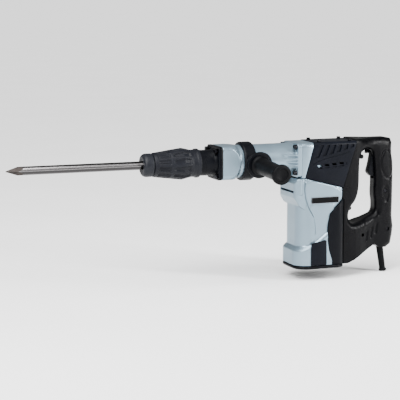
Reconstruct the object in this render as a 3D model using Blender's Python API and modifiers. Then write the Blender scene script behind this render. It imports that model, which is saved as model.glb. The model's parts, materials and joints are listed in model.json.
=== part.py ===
"""Demolition hammer with an SDS-max bull-point bit, modelled as the assembly of its separate pieces.

+X runs forward along the bit, +Y to the side handle, +Z up. The origin is on the motor's axis, in the
plane of the tail cover's underside. All dimensions are in millimetres, and each builder scales them by MM.
"""

import math

import bmesh
import bpy
from mathutils import Matrix, Vector

MM = 0.001
GAP = 0.3
ROUND_STEPS = 24
SMALL_STEPS = 12
UP = (0, 0, 1)
FORWARD = (1, 0, 0)

# Percussion line, all on one horizontal axis
AXIS_Z = 240.0
BIT_R = 9.0
BIT_BACK_X = 291.0
BIT_TIP_X = 691.0
TIP_LENGTH = 38.0
BIT_PLAY = 10.0
NOSE_X = 400.0
HOLDER_R = 20.0
NECK_R = 14.5
ROLLER_R = 3.5
ROLLER_ORBIT = 10.3
ROLLER_BACK_X = 334.0
ROLLER_LENGTH = 16.0
FLANGE_X = 231.0
FLANGE_THICK = 8.0
FLANGE_HALF = 36.0
FRONT_BOLT_OFFSET = 27.0
GASKET_THICK = 1.5
SCREW_HOLE_R = 3.3
LINER_BORE_R = 20.2
LINER_R = 23.7
BARREL_R = 35.5
CASE_BACK_X = 47.5
CASE_FLANGE_THICK = 9.5
CASE_BOLTS = [(y, z) for y in (-34.0, 34.0) for z in (213.0, 269.5)]
FIN_COUNT = 4
FIN_PITCH = 7.5

# Crank drive
CRANK_X = 28.0
CRANK_RADIUS = 11.0
ROD_LENGTH = 62.0
GEAR_MODULE = 1.0
GEAR_TEETH = 48
PINION_TEETH = 8
GEAR_Z = (186.0, 196.0)

# Casings
CASE_HALF_Y = 40.0
CASE_TOP_Z = 277.0
CASE_FLOOR_Z = 200.3
COVER_HALF_Y = 40.6
COVER_WALL = 4.0
COVER_TOP_Z = 278.0
COVER_SCREWS = [(x, y) for x in (2.0, -72.0) for y in (-28.0, 28.0)]
HOUSING_HALF_Y = 47.0
HOUSING_FRONT_X = 54.0
BELL_HALF_Y = 52.0
BELL_FRONT_X = 61.5
BLOCK_FRONT_X = 65.0
BLOCK_HALF_Y = 46.0
TAIL_THICK = 8.0
TAIL_VENTS = (-28.0, -24.0, 28.0, 36.0, 44.0)
HOUSING_FLOOR_Z = TAIL_THICK + GAP
MOTOR_BORE_R = 43.0
MOTOR_TUBE_R = 45.6
REAR_EDGE = [
    (-48.3, 150.3),
    (-17.3, 121.3),
    (-12.3, 96.0),
    (-10.3, 63.0),
    (-14.0, 40.0),
    (-21.3, 18.0),
]
REAR_BACK_X = -55.0
REAR_HALF_Y = 50.5
HANDLE_FRONT_X = -55.3

# Side handle
BAND_X = (153.0, 180.5)
BAND_R = 42.0
BAND_BORE_R = BARREL_R + 0.35
STUD_R = 5.0
DISC_CENTRE = (148.5, 45.0, 235.0)
GRIP_END = (145.5, 158.0, 227.0)
DISC_R = 29.5
GRIP_R = 17.5
GRIP_CAP_R = 21.5

# Main handle
TRIGGER_PIVOT = (-147.0, 0.0, 252.0)
LOCK_X = -128.0
GUARD_TOP = (-160.5, 0.0, 58.0)
GUARD_END = (-174.0, 0.0, -24.0)

LOOKS = {
    "silver": ((0.47, 0.53, 0.56), 0.42, 0.35),
    "black_plastic": ((0.022, 0.024, 0.03), 0.55, 0.0),
    "black_rubber": ((0.02, 0.021, 0.025), 0.8, 0.0),
    "bright_steel": ((0.55, 0.53, 0.52), 0.25, 1.0),
    "ground_steel": ((0.42, 0.42, 0.43), 0.35, 1.0),
    "dark_steel": ((0.09, 0.09, 0.10), 0.4, 0.9),
    "copper": ((0.65, 0.28, 0.14), 0.4, 1.0),
    "carbon": ((0.03, 0.03, 0.03), 0.7, 0.1),
}


def clear_scene():
    for obj in list(bpy.data.objects):
        bpy.data.objects.remove(obj, do_unlink=True)


def new_collection(name, hidden=False):
    collection = bpy.data.collections.new(name)
    collection.hide_render = hidden
    bpy.context.scene.collection.children.link(collection)
    return collection


def look(name):
    """The material of this name, made on first use."""
    found = bpy.data.materials.get(name)
    if found:
        return found
    colour, roughness, metallic = LOOKS[name]
    made = bpy.data.materials.new(name)
    made.use_nodes = True
    shader = made.node_tree.nodes["Principled BSDF"]
    shader.inputs["Base Color"].default_value = (*colour, 1.0)
    shader.inputs["Roughness"].default_value = roughness
    shader.inputs["Metallic"].default_value = metallic
    return made


def place(mesh, name):
    obj = bpy.data.objects.new(name, mesh)
    PARTS.objects.link(obj)
    return obj


def along(axis, low):
    """Turns a shape drawn in its own XY plane, and extruded from low, to stand along X, Y or Z."""
    if axis == "X":
        turn = Matrix(((0, 0, 1), (1, 0, 0), (0, 1, 0))).to_4x4()
    elif axis == "Y":
        turn = Matrix(((1, 0, 0), (0, 0, 1), (0, 1, 0))).to_4x4()
    else:
        turn = Matrix.Identity(4)
    return turn @ Matrix.Translation((0, 0, low * MM))


def slab(name, loops, low, high, axis):
    """A flat outline, with any holes after it, extruded along X (drawn in YZ), Y (in XZ) or Z (in XY)."""
    curve = bpy.data.curves.new(name, "CURVE")
    curve.dimensions = "2D"
    curve.fill_mode = "BOTH"
    curve.extrude = (high - low) / 2 * MM
    for loop in loops:
        spline = curve.splines.new("POLY")
        spline.points.add(len(loop) - 1)
        for point, (u, v) in zip(spline.points, loop):
            point.co = (u * MM, v * MM, 0.0, 1.0)
        spline.use_cyclic_u = True
    source = bpy.data.objects.new(name, curve)
    mesh = bpy.data.meshes.new_from_object(source)
    bpy.data.objects.remove(source)
    mesh.transform(along(axis, (low + high) / 2))
    shape = bmesh.new()
    shape.from_mesh(mesh)
    bmesh.ops.remove_doubles(shape, verts=shape.verts, dist=1e-6)
    bmesh.ops.dissolve_limit(shape, angle_limit=0.001, verts=shape.verts, edges=shape.edges)
    bmesh.ops.recalc_face_normals(shape, faces=shape.faces)
    shape.to_mesh(mesh)
    shape.free()
    return place(mesh, name)


def block(name, low, high):
    """A box between two opposite corners."""
    shape = bmesh.new()
    bmesh.ops.create_cube(shape, size=1.0)
    size = Vector(high) - Vector(low)
    middle = (Vector(high) + Vector(low)) / 2
    bmesh.ops.scale(shape, vec=size * MM, verts=shape.verts)
    bmesh.ops.translate(shape, vec=middle * MM, verts=shape.verts)
    mesh = bpy.data.meshes.new(name)
    shape.to_mesh(mesh)
    shape.free()
    return place(mesh, name)


def turned(name, profile, origin=(0.0, 0.0, 0.0), toward=UP, ring=False, steps=ROUND_STEPS):
    """A turned shape. The profile lists (distance along the axis, radius); ring closes it into a tube."""
    pairs = zip(profile, profile[1:] + profile[:1])
    area = sum(a[1] * b[0] - b[1] * a[0] for a, b in pairs)
    ordered = profile[::-1] if area > 0 else profile
    mesh = bpy.data.meshes.new(name)
    shape = bmesh.new()
    points = [shape.verts.new((radius * MM, 0.0, distance * MM)) for distance, radius in ordered]
    for first, second in zip(points, points[1:]):
        shape.edges.new((first, second))
    if ring:
        shape.edges.new((points[-1], points[0]))
    shape.to_mesh(mesh)
    shape.free()
    obj = place(mesh, name)
    obj.location = Vector(origin) * MM
    obj.rotation_euler = Vector(toward).to_track_quat("Z", "Y").to_euler()
    screw = obj.modifiers.new("Turn", "SCREW")
    screw.steps = steps
    screw.render_steps = steps
    screw.use_merge_vertices = True
    screw.merge_threshold = 0.00001
    screw.use_smooth_shade = True
    return obj


def on_axis(name, profile, **options):
    """A turned shape on the percussion axis, with its profile's distances as world X."""
    return turned(name, profile, (0.0, 0.0, AXIS_Z), FORWARD, **options)


def round_edges(obj, width, segments=2, angle=30.0):
    bevel = obj.modifiers.new("Rounding", "BEVEL")
    bevel.width = width * MM
    bevel.segments = segments
    bevel.limit_method = "ANGLE"
    bevel.angle_limit = math.radians(angle)
    return obj


def combine(target, tools, operation):
    for tool in tools:
        modifier = target.modifiers.new(operation.title(), "BOOLEAN")
        modifier.operation = operation
        modifier.solver = "EXACT"
        modifier.object = tool
        PARTS.objects.unlink(tool)
        CUTTERS.objects.link(tool)
        tool.hide_render = True
        tool.display_type = "WIRE"
    return target


def add(target, *tools):
    return combine(target, tools, "UNION")


def cut(target, *tools):
    return combine(target, tools, "DIFFERENCE")


def keep(target, *tools):
    return combine(target, tools, "INTERSECT")


def finish(obj, name, finish_look):
    obj.name = name
    obj.data.materials.clear()
    obj.data.materials.append(look(finish_look))
    return obj


def hang_on(name, pivot, pieces):
    """Parents the pieces to an empty on their joint's axis, leaving them where they are."""
    empty = bpy.data.objects.new(name, None)
    PARTS.objects.link(empty)
    empty.location = Vector(pivot) * MM
    back = Matrix.Translation(empty.location).inverted()
    for piece in pieces:
        piece.parent = empty
        piece.matrix_parent_inverse = back


def circle(u, v, radius, steps=ROUND_STEPS):
    angles = [2 * math.pi * i / steps for i in range(steps)]
    return [(u + radius * math.cos(a), v + radius * math.sin(a)) for a in angles]


def arc(u, v, radius, start, end, steps=4):
    angles = [math.radians(start + (end - start) * i / steps) for i in range(steps + 1)]
    return [(u + radius * math.cos(a), v + radius * math.sin(a)) for a in angles]


def rounded(u0, u1, v0, v1, radii, steps=4):
    """A rectangle whose corners are rounded by radii: low-low, high-low, high-high, low-high."""
    r0, r1, r2, r3 = radii
    return (
        arc(u0 + r0, v0 + r0, r0, 180, 270, steps)
        + arc(u1 - r1, v0 + r1, r1, 270, 360, steps)
        + arc(u1 - r2, v1 - r2, r2, 0, 90, steps)
        + arc(u0 + r3, v1 - r3, r3, 90, 180, steps)
    )


def corners(offset):
    return [(y, z) for y in (-offset, offset) for z in (-offset, offset)]


def socket_screw(name, seat, toward, head_r, head_height, shank_r, shank_length):
    """A socket-head screw. The seat is the middle of its head's underside; toward points out of it."""
    profile = [
        (-shank_length, 0.0),
        (-shank_length, shank_r),
        (0.0, shank_r),
        (0.0, head_r),
        (head_height, head_r),
        (head_height, head_r * 0.55),
        (head_height * 0.4, head_r * 0.55),
        (head_height * 0.4, 0.0),
    ]
    screw = turned(name, profile, seat, toward, steps=SMALL_STEPS)
    finish(screw, name, "dark_steel")


# Tool holder and bit


def make_bit():
    profile = [
        (BIT_BACK_X, 0.0),
        (BIT_BACK_X, BIT_R - 1.0),
        (BIT_BACK_X + 1.0, BIT_R),
        (BIT_TIP_X, BIT_R),
        (BIT_TIP_X, 0.0),
    ]
    bit = on_axis("chisel_bit", profile)
    spread = BIT_R * math.sqrt(2) / TIP_LENGTH
    back = BIT_BACK_X - 5.0
    envelope = on_axis(
        "point_envelope",
        [(back, 0.0), (back, 1.0 + spread * (BIT_TIP_X - back)), (BIT_TIP_X, 1.0), (BIT_TIP_X, 0.0)],
        steps=4,
    )
    keep(bit, envelope)
    for name, side in (("upper_groove", 1), ("lower_groove", -1)):
        start = ROLLER_BACK_X - BIT_PLAY - GAP
        end = ROLLER_BACK_X + ROLLER_LENGTH + GAP
        groove = turned(
            name,
            [(start, 0.0), (start, ROLLER_R + 0.6), (end, ROLLER_R + 0.6), (end, 0.0)],
            (0.0, 0.0, AXIS_Z + side * ROLLER_ORBIT),
            FORWARD,
            steps=SMALL_STEPS,
        )
        cut(bit, groove)
    finish(bit, "chisel_bit", "bright_steel")


def make_front_cap():
    seat = NOSE_X - 5.7
    profile = [
        (378.3, 17.4),
        (378.3, 24.4),
        (380.0, 25.0),
        (392.0, 25.0),
        (397.0, 23.4),
        (NOSE_X, 19.5),
        (NOSE_X, BIT_R + 0.5),
        (seat, BIT_R + 0.5),
        (seat, 17.4),
    ]
    finish(on_axis("front_cap", profile, ring=True), "front_cap", "black_rubber")


def make_sleeve():
    profile = [
        (274.5, 28.0),
        (274.5, 30.4),
        (276.0, 31.2),
        (281.0, 31.2),
        (283.0, 29.6),
        (291.0, 29.6),
        (300.0, 31.2),
        (312.0, 34.0),
        (317.0, 33.4),
        (345.0, 29.6),
        (372.0, 26.2),
        (377.0, 25.0),
        (377.0, 17.5),
        (366.0, 17.5),
        (366.0, 20.5),
        (352.5, 20.5),
        (352.5, 24.4),
        (330.7, 24.4),
        (330.7, 25.2),
        (290.0, 25.2),
        (290.0, 28.0),
    ]
    finish(on_axis("grip_sleeve", profile, ring=True), "grip_sleeve", "black_rubber")


def make_lock_parts():
    ring_profile = [
        (331.0, 14.9),
        (334.0, 14.9),
        (350.0, 19.6),
        (352.2, 19.6),
        (352.2, 24.1),
        (331.0, 24.1),
    ]
    finish(on_axis("lock_ring", ring_profile, ring=True), "lock_ring", "ground_steel")
    for name, side in (("lock_roller_top", 1), ("lock_roller_bottom", -1)):
        start = ROLLER_BACK_X
        end = ROLLER_BACK_X + ROLLER_LENGTH
        profile = [(start, 0.0), (start, ROLLER_R), (end, ROLLER_R), (end, 0.0)]
        roller = turned(name, profile, (0.0, 0.0, AXIS_Z + side * ROLLER_ORBIT), FORWARD, steps=SMALL_STEPS)
        finish(roller, name, "bright_steel")


def make_holder():
    profile = [
        (246.3, 13.6),
        (246.3, HOLDER_R),
        (316.0, HOLDER_R),
        (316.0, NECK_R),
        (362.0, NECK_R),
        (362.0, 17.0),
        (394.0, 17.0),
        (394.0, BIT_R + 0.4),
        (292.0, BIT_R + 0.4),
        (292.0, 13.6),
    ]
    holder = on_axis("tool_holder", profile, ring=True)
    half = ROLLER_R + 0.3
    slot = block(
        "roller_slot",
        (ROLLER_BACK_X - GAP, -half, AXIS_Z - NECK_R - 4.0),
        (ROLLER_BACK_X + ROLLER_LENGTH + GAP, half, AXIS_Z + NECK_R + 4.0),
    )
    cut(holder, slot)
    finish(holder, "tool_holder", "ground_steel")


def make_sleeve_spring():
    turns, points_per_turn, radius = 5, 12, 22.6
    start, end = 278.5, 329.0
    count = turns * points_per_turn
    curve = bpy.data.curves.new("sleeve_spring", "CURVE")
    curve.dimensions = "3D"
    curve.bevel_depth = 1.1 * MM
    curve.bevel_resolution = 0
    curve.use_fill_caps = True
    spline = curve.splines.new("POLY")
    spline.points.add(count)
    for i, point in enumerate(spline.points):
        turn = 2 * math.pi * i / points_per_turn
        x = start + (end - start) * i / count
        y = radius * math.cos(turn)
        z = AXIS_Z + radius * math.sin(turn)
        point.co = (x * MM, y * MM, z * MM, 1.0)
    spring = bpy.data.objects.new("sleeve_spring", curve)
    PARTS.objects.link(spring)
    finish(spring, "sleeve_spring", "ground_steel")


# Barrel


def square_plate(name, half, low, high, bore):
    outline = rounded(-half, half, AXIS_Z - half, AXIS_Z + half, (7.0,) * 4, 2)
    holes = [circle(y, AXIS_Z + z, SCREW_HOLE_R, SMALL_STEPS) for y, z in corners(FRONT_BOLT_OFFSET)]
    return slab(name, [outline, circle(0.0, AXIS_Z, bore)] + holes, low, high, "X")


def make_front_cover():
    face = FLANGE_X + FLANGE_THICK
    cover = square_plate("front_cover", FLANGE_HALF, FLANGE_X, face, 17.6)
    tube = [
        (face - 4.0, 17.6),
        (face - 4.0, 27.7),
        (275.0, 27.7),
        (276.0, 26.7),
        (276.0, HOLDER_R + GAP),
        (245.8, HOLDER_R + GAP),
        (245.8, 17.6),
    ]
    add(cover, on_axis("cover_tube", tube, ring=True))
    gasket_back = FLANGE_X - GAP - GASKET_THICK
    gasket = square_plate("front_gasket", FLANGE_HALF - 0.6, gasket_back, FLANGE_X - GAP, 21.0)
    finish(cover, "front_cover", "black_plastic")
    finish(gasket, "front_gasket", "carbon")


def make_cylinder_case():
    front = FLANGE_X - GASKET_THICK - 2 * GAP
    back = CASE_BACK_X
    flange_front = back + CASE_FLANGE_THICK
    inset = 0.8
    barrel = [
        (back + inset, 0.0),
        (back + inset, BARREL_R),
        (flange_front - 2.0, 36.6),
        (95.0, BARREL_R),
        (front - inset, BARREL_R),
        (front - inset, 0.0),
    ]
    case = on_axis("cylinder_case", barrel)
    half = FLANGE_HALF
    head_outline = rounded(-half, half, AXIS_Z - half, AXIS_Z + half, (9.0,) * 4, 3)
    head = slab("barrel_head", [head_outline], 192.0, front, "X")
    rear_outline = rounded(-CASE_HALF_Y, CASE_HALF_Y, 203.0, CASE_TOP_Z, (6.0, 6.0, 9.0, 9.0), 3)
    rear = slab("barrel_flange", [rear_outline], back, flange_front, "X")
    add(case, head, rear)
    for side in (-1, 1):
        for number in range(FIN_COUNT):
            z = AXIS_Z - 11.0 + FIN_PITCH * number
            plan = [(2.0, 30.0), (2.0, 39.4), (18.0, 39.4), (36.0, 34.0), (36.0, 30.0)]
            outline = [(back + x, side * y) for x, y in plan]
            add(case, slab(f"fin_{side}_{number}", [outline], z - 1.3, z + 1.3, "Z"))
    bore = [(0.0, 0.0), (0.0, LINER_R + GAP), (front + 10.0, LINER_R + GAP), (front + 10.0, 0.0)]
    cut(case, on_axis("case_bore", bore))
    for number, (y, z) in enumerate(corners(FRONT_BOLT_OFFSET)):
        hole = [(204.0, 0.0), (204.0, SCREW_HOLE_R), (front + 1.0, SCREW_HOLE_R), (front + 1.0, 0.0)]
        cut(case, turned(f"head_hole_{number}", hole, (0, y, AXIS_Z + z), FORWARD, steps=SMALL_STEPS))
    for number, (y, z) in enumerate(CASE_BOLTS):
        low, high = back - 1.0, flange_front + 1.0
        hole = [(low, 0.0), (low, SCREW_HOLE_R), (high, SCREW_HOLE_R), (high, 0.0)]
        cut(case, turned(f"flange_hole_{number}", hole, (0, y, z), FORWARD, steps=SMALL_STEPS))
    finish(case, "cylinder_case", "silver")


def make_bolts():
    for number, (y, z) in enumerate(corners(FRONT_BOLT_OFFSET), 1):
        seat = (FLANGE_X + FLANGE_THICK + GAP, y, AXIS_Z + z)
        socket_screw(f"front_bolt_{number}", seat, FORWARD, 5.0, 7.5, 3.0, 32.0)
    for number, (y, z) in enumerate(CASE_BOLTS, 1):
        seat = (CASE_BACK_X + CASE_FLANGE_THICK + GAP, y, z)
        socket_screw(f"case_bolt_{number}", seat, FORWARD, 5.0, 8.0, 3.0, 18.0)


def make_percussion():
    liner_back = CASE_BACK_X + 1.5
    liner_profile = [
        (liner_back, LINER_BORE_R),
        (liner_back, LINER_R),
        (223.5, LINER_R),
        (223.5, LINER_BORE_R),
    ]
    finish(on_axis("cylinder_liner", liner_profile, ring=True), "cylinder_liner", "ground_steel")
    hammer_profile = [
        (211.0, 0.0),
        (211.0, 10.0),
        (212.0, 11.0),
        (222.0, 11.0),
        (222.0, 17.0),
        (235.5, 17.0),
        (235.5, 13.2),
        (280.5, 13.2),
        (280.5, 0.0),
    ]
    finish(on_axis("impact_bolt", hammer_profile), "impact_bolt", "ground_steel")
    striker_profile = [
        (152.0, 0.0),
        (152.0, 19.8),
        (182.0, 19.8),
        (184.0, 11.0),
        (192.0, 10.0),
        (192.0, 0.0),
    ]
    finish(on_axis("striker", striker_profile), "striker", "bright_steel")
    piston_profile = [
        (108.5, 0.0),
        (108.5, 17.7),
        (70.0, 17.7),
        (70.0, 19.8),
        (110.0, 19.8),
        (110.0, 18.8),
        (113.0, 18.8),
        (113.0, 19.8),
        (116.0, 19.8),
        (116.0, 0.0),
    ]
    finish(on_axis("piston", piston_profile), "piston", "ground_steel")


# Crank drive


def gear_outline(teeth, module, turn):
    """Trapezoid teeth with some backlash. turn is where the first tooth points, in degrees."""
    tip = module * (teeth / 2 + 0.85)
    root = module * (teeth / 2 - 1.15)
    pitch = 2 * math.pi / teeth
    outline = []
    for tooth in range(teeth):
        middle = math.radians(turn) + tooth * pitch
        for radius, share in ((root, -0.27), (tip, -0.12), (tip, 0.12), (root, 0.27)):
            angle = middle + share * pitch
            outline.append((radius * math.cos(angle), radius * math.sin(angle)))
    return outline


def make_crank():
    x = CRANK_X
    pin_x = x - CRANK_RADIUS
    shaft_profile = [
        (172.0, 0.0),
        (172.0, 7.2),
        (184.5, 7.2),
        (184.5, 8.0),
        (200.0, 8.0),
        (200.0, 9.8),
        (218.0, 9.8),
        (218.0, 20.0),
        (227.0, 20.0),
        (227.0, 0.0),
    ]
    crankshaft = turned("crankshaft", shaft_profile, (x, 0, 0))
    pin = [(225.0, 0.0), (225.0, 6.0), (247.0, 6.0), (247.0, 0.0)]
    add(crankshaft, turned("crank_pin", pin, (pin_x, 0, 0), steps=16))
    finish(crankshaft, "crankshaft", "ground_steel")
    outline = [(x + u, v) for u, v in gear_outline(GEAR_TEETH, GEAR_MODULE, 180.0)]
    gear = slab("crank_gear", [outline, circle(x, 0.0, 8.3)], *GEAR_Z, "Z")
    finish(gear, "crank_gear", "ground_steel")
    rod_z = (AXIS_Z - 4.0, AXIS_Z + 4.0)
    small_x = pin_x + ROD_LENGTH
    rod = slab("connecting_rod", [circle(pin_x, 0.0, 10.0), circle(pin_x, 0.0, 6.3, 16)], *rod_z, "Z")
    arm = slab("rod_arm", [[(pin_x + 8, -4), (small_x, -4), (small_x, 4), (pin_x + 8, 4)]], *rod_z, "Z")
    eye = slab("rod_eye", [circle(small_x, 0.0, 5.0, 16)], *rod_z, "Z")
    eye_hole = slab("rod_eye_hole", [circle(small_x, 0.0, 2.6, SMALL_STEPS)], 230.0, 250.0, "Z")
    add(rod, arm, eye)
    cut(rod, eye_hole)
    finish(rod, "connecting_rod", "ground_steel")
    wrist = [(231.0, 0.0), (231.0, 2.3), (249.0, 2.3), (249.0, 0.0)]
    wrist_pin = turned("wrist_pin", wrist, (small_x, 0, 0), steps=SMALL_STEPS)
    finish(wrist_pin, "wrist_pin", "bright_steel")
    hang_on("crank_axis", (x, 0, AXIS_Z), [crankshaft, gear])
    hang_on("rod_axis", (pin_x, 0, AXIS_Z), [rod, wrist_pin])


def make_bearings():
    sizes = (
        ("crank_bearing_upper", CRANK_X, 202.5, 216.0, 10.1, 18.0),
        ("crank_bearing_lower", CRANK_X, 174.3, 183.7, 7.5, 16.0),
        ("armature_bearing_upper", 0.0, 164.4, 173.6, 6.3, 13.0),
        ("armature_bearing_lower", 0.0, 21.0, 30.0, 6.3, 13.0),
    )
    for name, x, low, high, inner, outer in sizes:
        middle = (inner + outer) / 2
        profile = [
            (low, inner),
            (low, middle - 1.5),
            (low + 1.2, middle - 1.5),
            (low + 1.2, middle + 1.5),
            (low, middle + 1.5),
            (low, outer),
            (high, outer),
            (high, inner),
        ]
        finish(turned(name, profile, (x, 0, 0), ring=True), name, "bright_steel")


# Casings


def make_crank_case():
    outline = rounded(-CASE_HALF_Y, CASE_HALF_Y, CASE_FLOOR_Z, CASE_TOP_Z, (2.0, 2.0, 9.0, 9.0), 3)
    case = slab("crank_case", [outline], 0.0, CASE_BACK_X - GAP, "X")
    cut(case, slab("case_slant", [[(-20, 190), (42.9, 190), (17.4, 280), (-20, 280)]], -50, 50, "Y"))
    inner = rounded(-36.0, 36.0, CASE_FLOOR_Z, 273.0, (2.0, 2.0, 8.0, 8.0), 3)
    add(case, slab("case_body", [inner], -8.0, CASE_BACK_X - 6.0, "X"))
    well = [(215.9, 0.0), (215.9, 22.3), (262.0, 22.3), (262.0, 0.0)]
    seat = [(190.0, 0.0), (190.0, 18.3), (216.3, 18.3), (216.3, 0.0)]
    beyond = CASE_BACK_X + 5.0
    bore = [(CRANK_X, 0.0), (CRANK_X, LINER_BORE_R), (beyond, LINER_BORE_R), (beyond, 0.0)]
    cut(
        case,
        turned("crank_well", well, (CRANK_X, 0, 0)),
        turned("bearing_seat", seat, (CRANK_X, 0, 0)),
        on_axis("rod_bore", bore),
    )
    for number, (y, z) in enumerate(CASE_BOLTS):
        low, high = CASE_BACK_X - 9.0, CASE_BACK_X + 2.0
        hole = [(low, 0.0), (low, SCREW_HOLE_R), (high, SCREW_HOLE_R), (high, 0.0)]
        cut(case, turned(f"case_hole_{number}", hole, (0, y, z), FORWARD, steps=SMALL_STEPS))
    finish(case, "crank_case", "silver")


def make_crank_cover():
    outline = rounded(-COVER_HALF_Y, COVER_HALF_Y, 150.0, COVER_TOP_Z, (1.0, 1.0, 9.0, 9.0), 3)
    cover = slab("crank_cover", [outline], -95.0, 45.0, "X")
    outsides = {
        "below": [(60, 140), (60, 205.5), (40, 200.3), (-48, 177.6), (-110, 161.6), (-110, 140)],
        "ahead": [(60, 190), (42.6, 190), (17.1, 280), (17, 300), (60, 300)],
        "behind": [(-120, 140), (-44.2, 150), (-88, 285), (-120, 285)],
    }
    for place_name, outside in outsides.items():
        cut(cover, slab(f"cover_{place_name}", [outside], -60, 60, "Y"))
    inner_half = COVER_HALF_Y - COVER_WALL
    hollow = rounded(-inner_half, inner_half, 120.0, COVER_TOP_Z - 4.3, (1.0, 1.0, 7.0, 7.0), 3)
    room = slab("cover_room", [hollow], -90.0, 50.0, "X")
    back_wall = [(-120, 130), (-38.6, 140), (-84, 285), (-120, 285)]
    cut(room, slab("cover_back_wall", [back_wall], -60, 60, "Y"))
    cut(cover, room)
    for number in range(4):
        x = -14.0 - 20.0 * number
        z = 223.0 + 1.2 * number
        slot = [[(x - 6.5, z - 2.5), (x + 6.5, z - 2.5), (x + 6.5, z + 2.5), (x - 6.5, z + 2.5)]]
        cut(cover, slab(f"cover_vent_{number}", slot, -50, 50, "Y"))
    for number, (x, y) in enumerate(COVER_SCREWS, 1):
        hole = [(260.0, 0.0), (260.0, 2.4), (290.0, 2.4), (290.0, 0.0)]
        cut(cover, turned(f"cover_screw_hole_{number}", hole, (x, y, 0), steps=SMALL_STEPS))
        socket_screw(f"cover_screw_{number}", (x, y, COVER_TOP_Z + GAP), UP, 4.2, 3.6, 2.1, 4.2)
    finish(cover, "crank_cover", "black_plastic")


def make_motor_housing():
    floor = HOUSING_FLOOR_Z
    half = HOUSING_HALF_Y
    body_outline = rounded(-30.0, HOUSING_FRONT_X, -half, half, (5.0, 28.0, 28.0, 5.0), 5)
    housing = slab("motor_housing", [body_outline], floor, 140.0, "Z")
    bell_outline = rounded(-30.0, BELL_FRONT_X, -BELL_HALF_Y, BELL_HALF_Y, (5.0, 30.0, 30.0, 5.0), 5)
    bell = slab("bell", [bell_outline], floor, 90.0, "Z")
    bell_side = [(80, 0), (80, 42), (30, 48), (-9, 76), (-40, 90), (-40, 0)]
    keep(bell, slab("bell_side", [bell_side], -60, 60, "Y"))
    block_side = [
        (BLOCK_FRONT_X, 199.7),
        (40.0, 199.7),
        (-48.0, 177.0),
        (-48.0, 150.0),
        (-17.0, 121.0),
        (HOUSING_FRONT_X, 121.0),
        (HOUSING_FRONT_X, 142.0),
        (BLOCK_FRONT_X, 158.0),
    ]
    upper = round_edges(slab("upper_block", [block_side], -BLOCK_HALF_Y, BLOCK_HALF_Y, "Y"), 6.0, 2, 50.0)
    add(housing, bell, upper)
    behind = REAR_EDGE + [(-21.3, 0.0), (-90.0, 0.0), (-90.0, 151.0)]
    cut(housing, slab("behind_housing", [behind], -70, 70, "Y"))
    tube = [(floor, 0.0), (floor, MOTOR_TUBE_R), (165.0, MOTOR_TUBE_R), (165.0, 0.0)]
    add(housing, turned("motor_tube", tube))
    motor_bore = [(0.0, 0.0), (0.0, MOTOR_BORE_R), (160.0, MOTOR_BORE_R), (160.0, 0.0)]
    shaft_way = [
        (150.0, 0.0),
        (150.0, 8.0),
        (163.0, 8.0),
        (163.0, 13.3),
        (174.0, 13.3),
        (174.0, 8.0),
        (230.0, 8.0),
        (230.0, 0.0),
    ]
    crank_end = [(168.0, 0.0), (168.0, 7.8), (176.0, 7.8), (176.0, 0.0)]
    gear_room = [(173.9, 0.0), (173.9, 16.3), (184.2, 16.3), (184.2, 26.6), (230.0, 26.6), (230.0, 0.0)]
    cut(
        housing,
        turned("motor_bore", motor_bore),
        turned("shaft_way", shaft_way),
        turned("gear_room", gear_room, (CRANK_X, 0, 0)),
        turned("crank_end_room", crank_end, (CRANK_X, 0, 0)),
        slab("front_slot", [[(40, 168), (80, 168), (80, 174), (40, 174)]], -34, 34, "Y"),
    )
    for side, name in ((-1, "right"), (1, "left")):
        cut(housing, block(f"brush_room_{name}", (-3.6, side * 40 - 8, 45.6), (3.6, side * 40 + 8, 58.4)))
    finish(housing, "motor_housing", "silver")


def make_rear_cover():
    edge = [(x - GAP, z) for x, z in REAR_EDGE]
    outline = edge + [(-21.6, HOUSING_FLOOR_Z), (REAR_BACK_X, HOUSING_FLOOR_Z), (REAR_BACK_X, 150.0)]
    cover = slab("rear_cover", [outline], -60.0, 60.0, "Y")
    plan = rounded(REAR_BACK_X, 20.0, -REAR_HALF_Y, REAR_HALF_Y, (16.0, 2.0, 2.0, 16.0), 4)
    keep(cover, slab("rear_cover_plan", [plan], 0.0, 160.0, "Z"))
    room_r = MOTOR_TUBE_R + 0.4
    room = [(0.0, 0.0), (0.0, room_r), (170.0, room_r), (170.0, 0.0)]
    cut(cover, turned("tube_room", room))
    finish(cover, "rear_cover", "black_plastic")


def make_tail_cover():
    outline = rounded(REAR_BACK_X, BELL_FRONT_X, -BELL_HALF_Y, BELL_HALF_Y, (18.0, 30.0, 30.0, 18.0), 4)
    cover = slab("tail_cover", [outline], 0.0, TAIL_THICK, "Z")
    round_edges(cover, 4.0, 2, 60.0)
    collar = [(TAIL_THICK - 2.0, 13.3), (TAIL_THICK - 2.0, 17.0), (31.0, 17.0), (31.0, 13.3)]
    add(cover, turned("bearing_collar", collar, ring=True))
    for number, x in enumerate(TAIL_VENTS):
        cut(cover, block(f"tail_vent_{number}", (x, -22.0, -5.0), (x + 2.4, 22.0, 20.0)))
    finish(cover, "tail_cover", "black_plastic")


def make_side_panels():
    outline = [(29, 9), (29, 54), (24, 58.5), (-1, 64), (-6, 61.5), (-7.5, 13), (-5, 9)]
    for side, name in ((1, "brush_cover_left"), (-1, "brush_cover_right")):
        near, far = BELL_HALF_Y + GAP, BELL_HALF_Y + 2.6
        low, high = (near, far) if side > 0 else (-far, -near)
        panel = slab(name, [outline], low, high, "Y")
        finish(round_edges(panel, 0.8, 1, 50.0), name, "black_plastic")
    plate_outline = [(26.0, 145.0), (27.0, 158.5), (-37.5, 158.5), (-38.5, 145.0)]
    plate = slab("name_plate", [plate_outline], BLOCK_HALF_Y + GAP, BLOCK_HALF_Y + 1.5, "Y")
    finish(plate, "name_plate", "carbon")


# Motor


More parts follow.
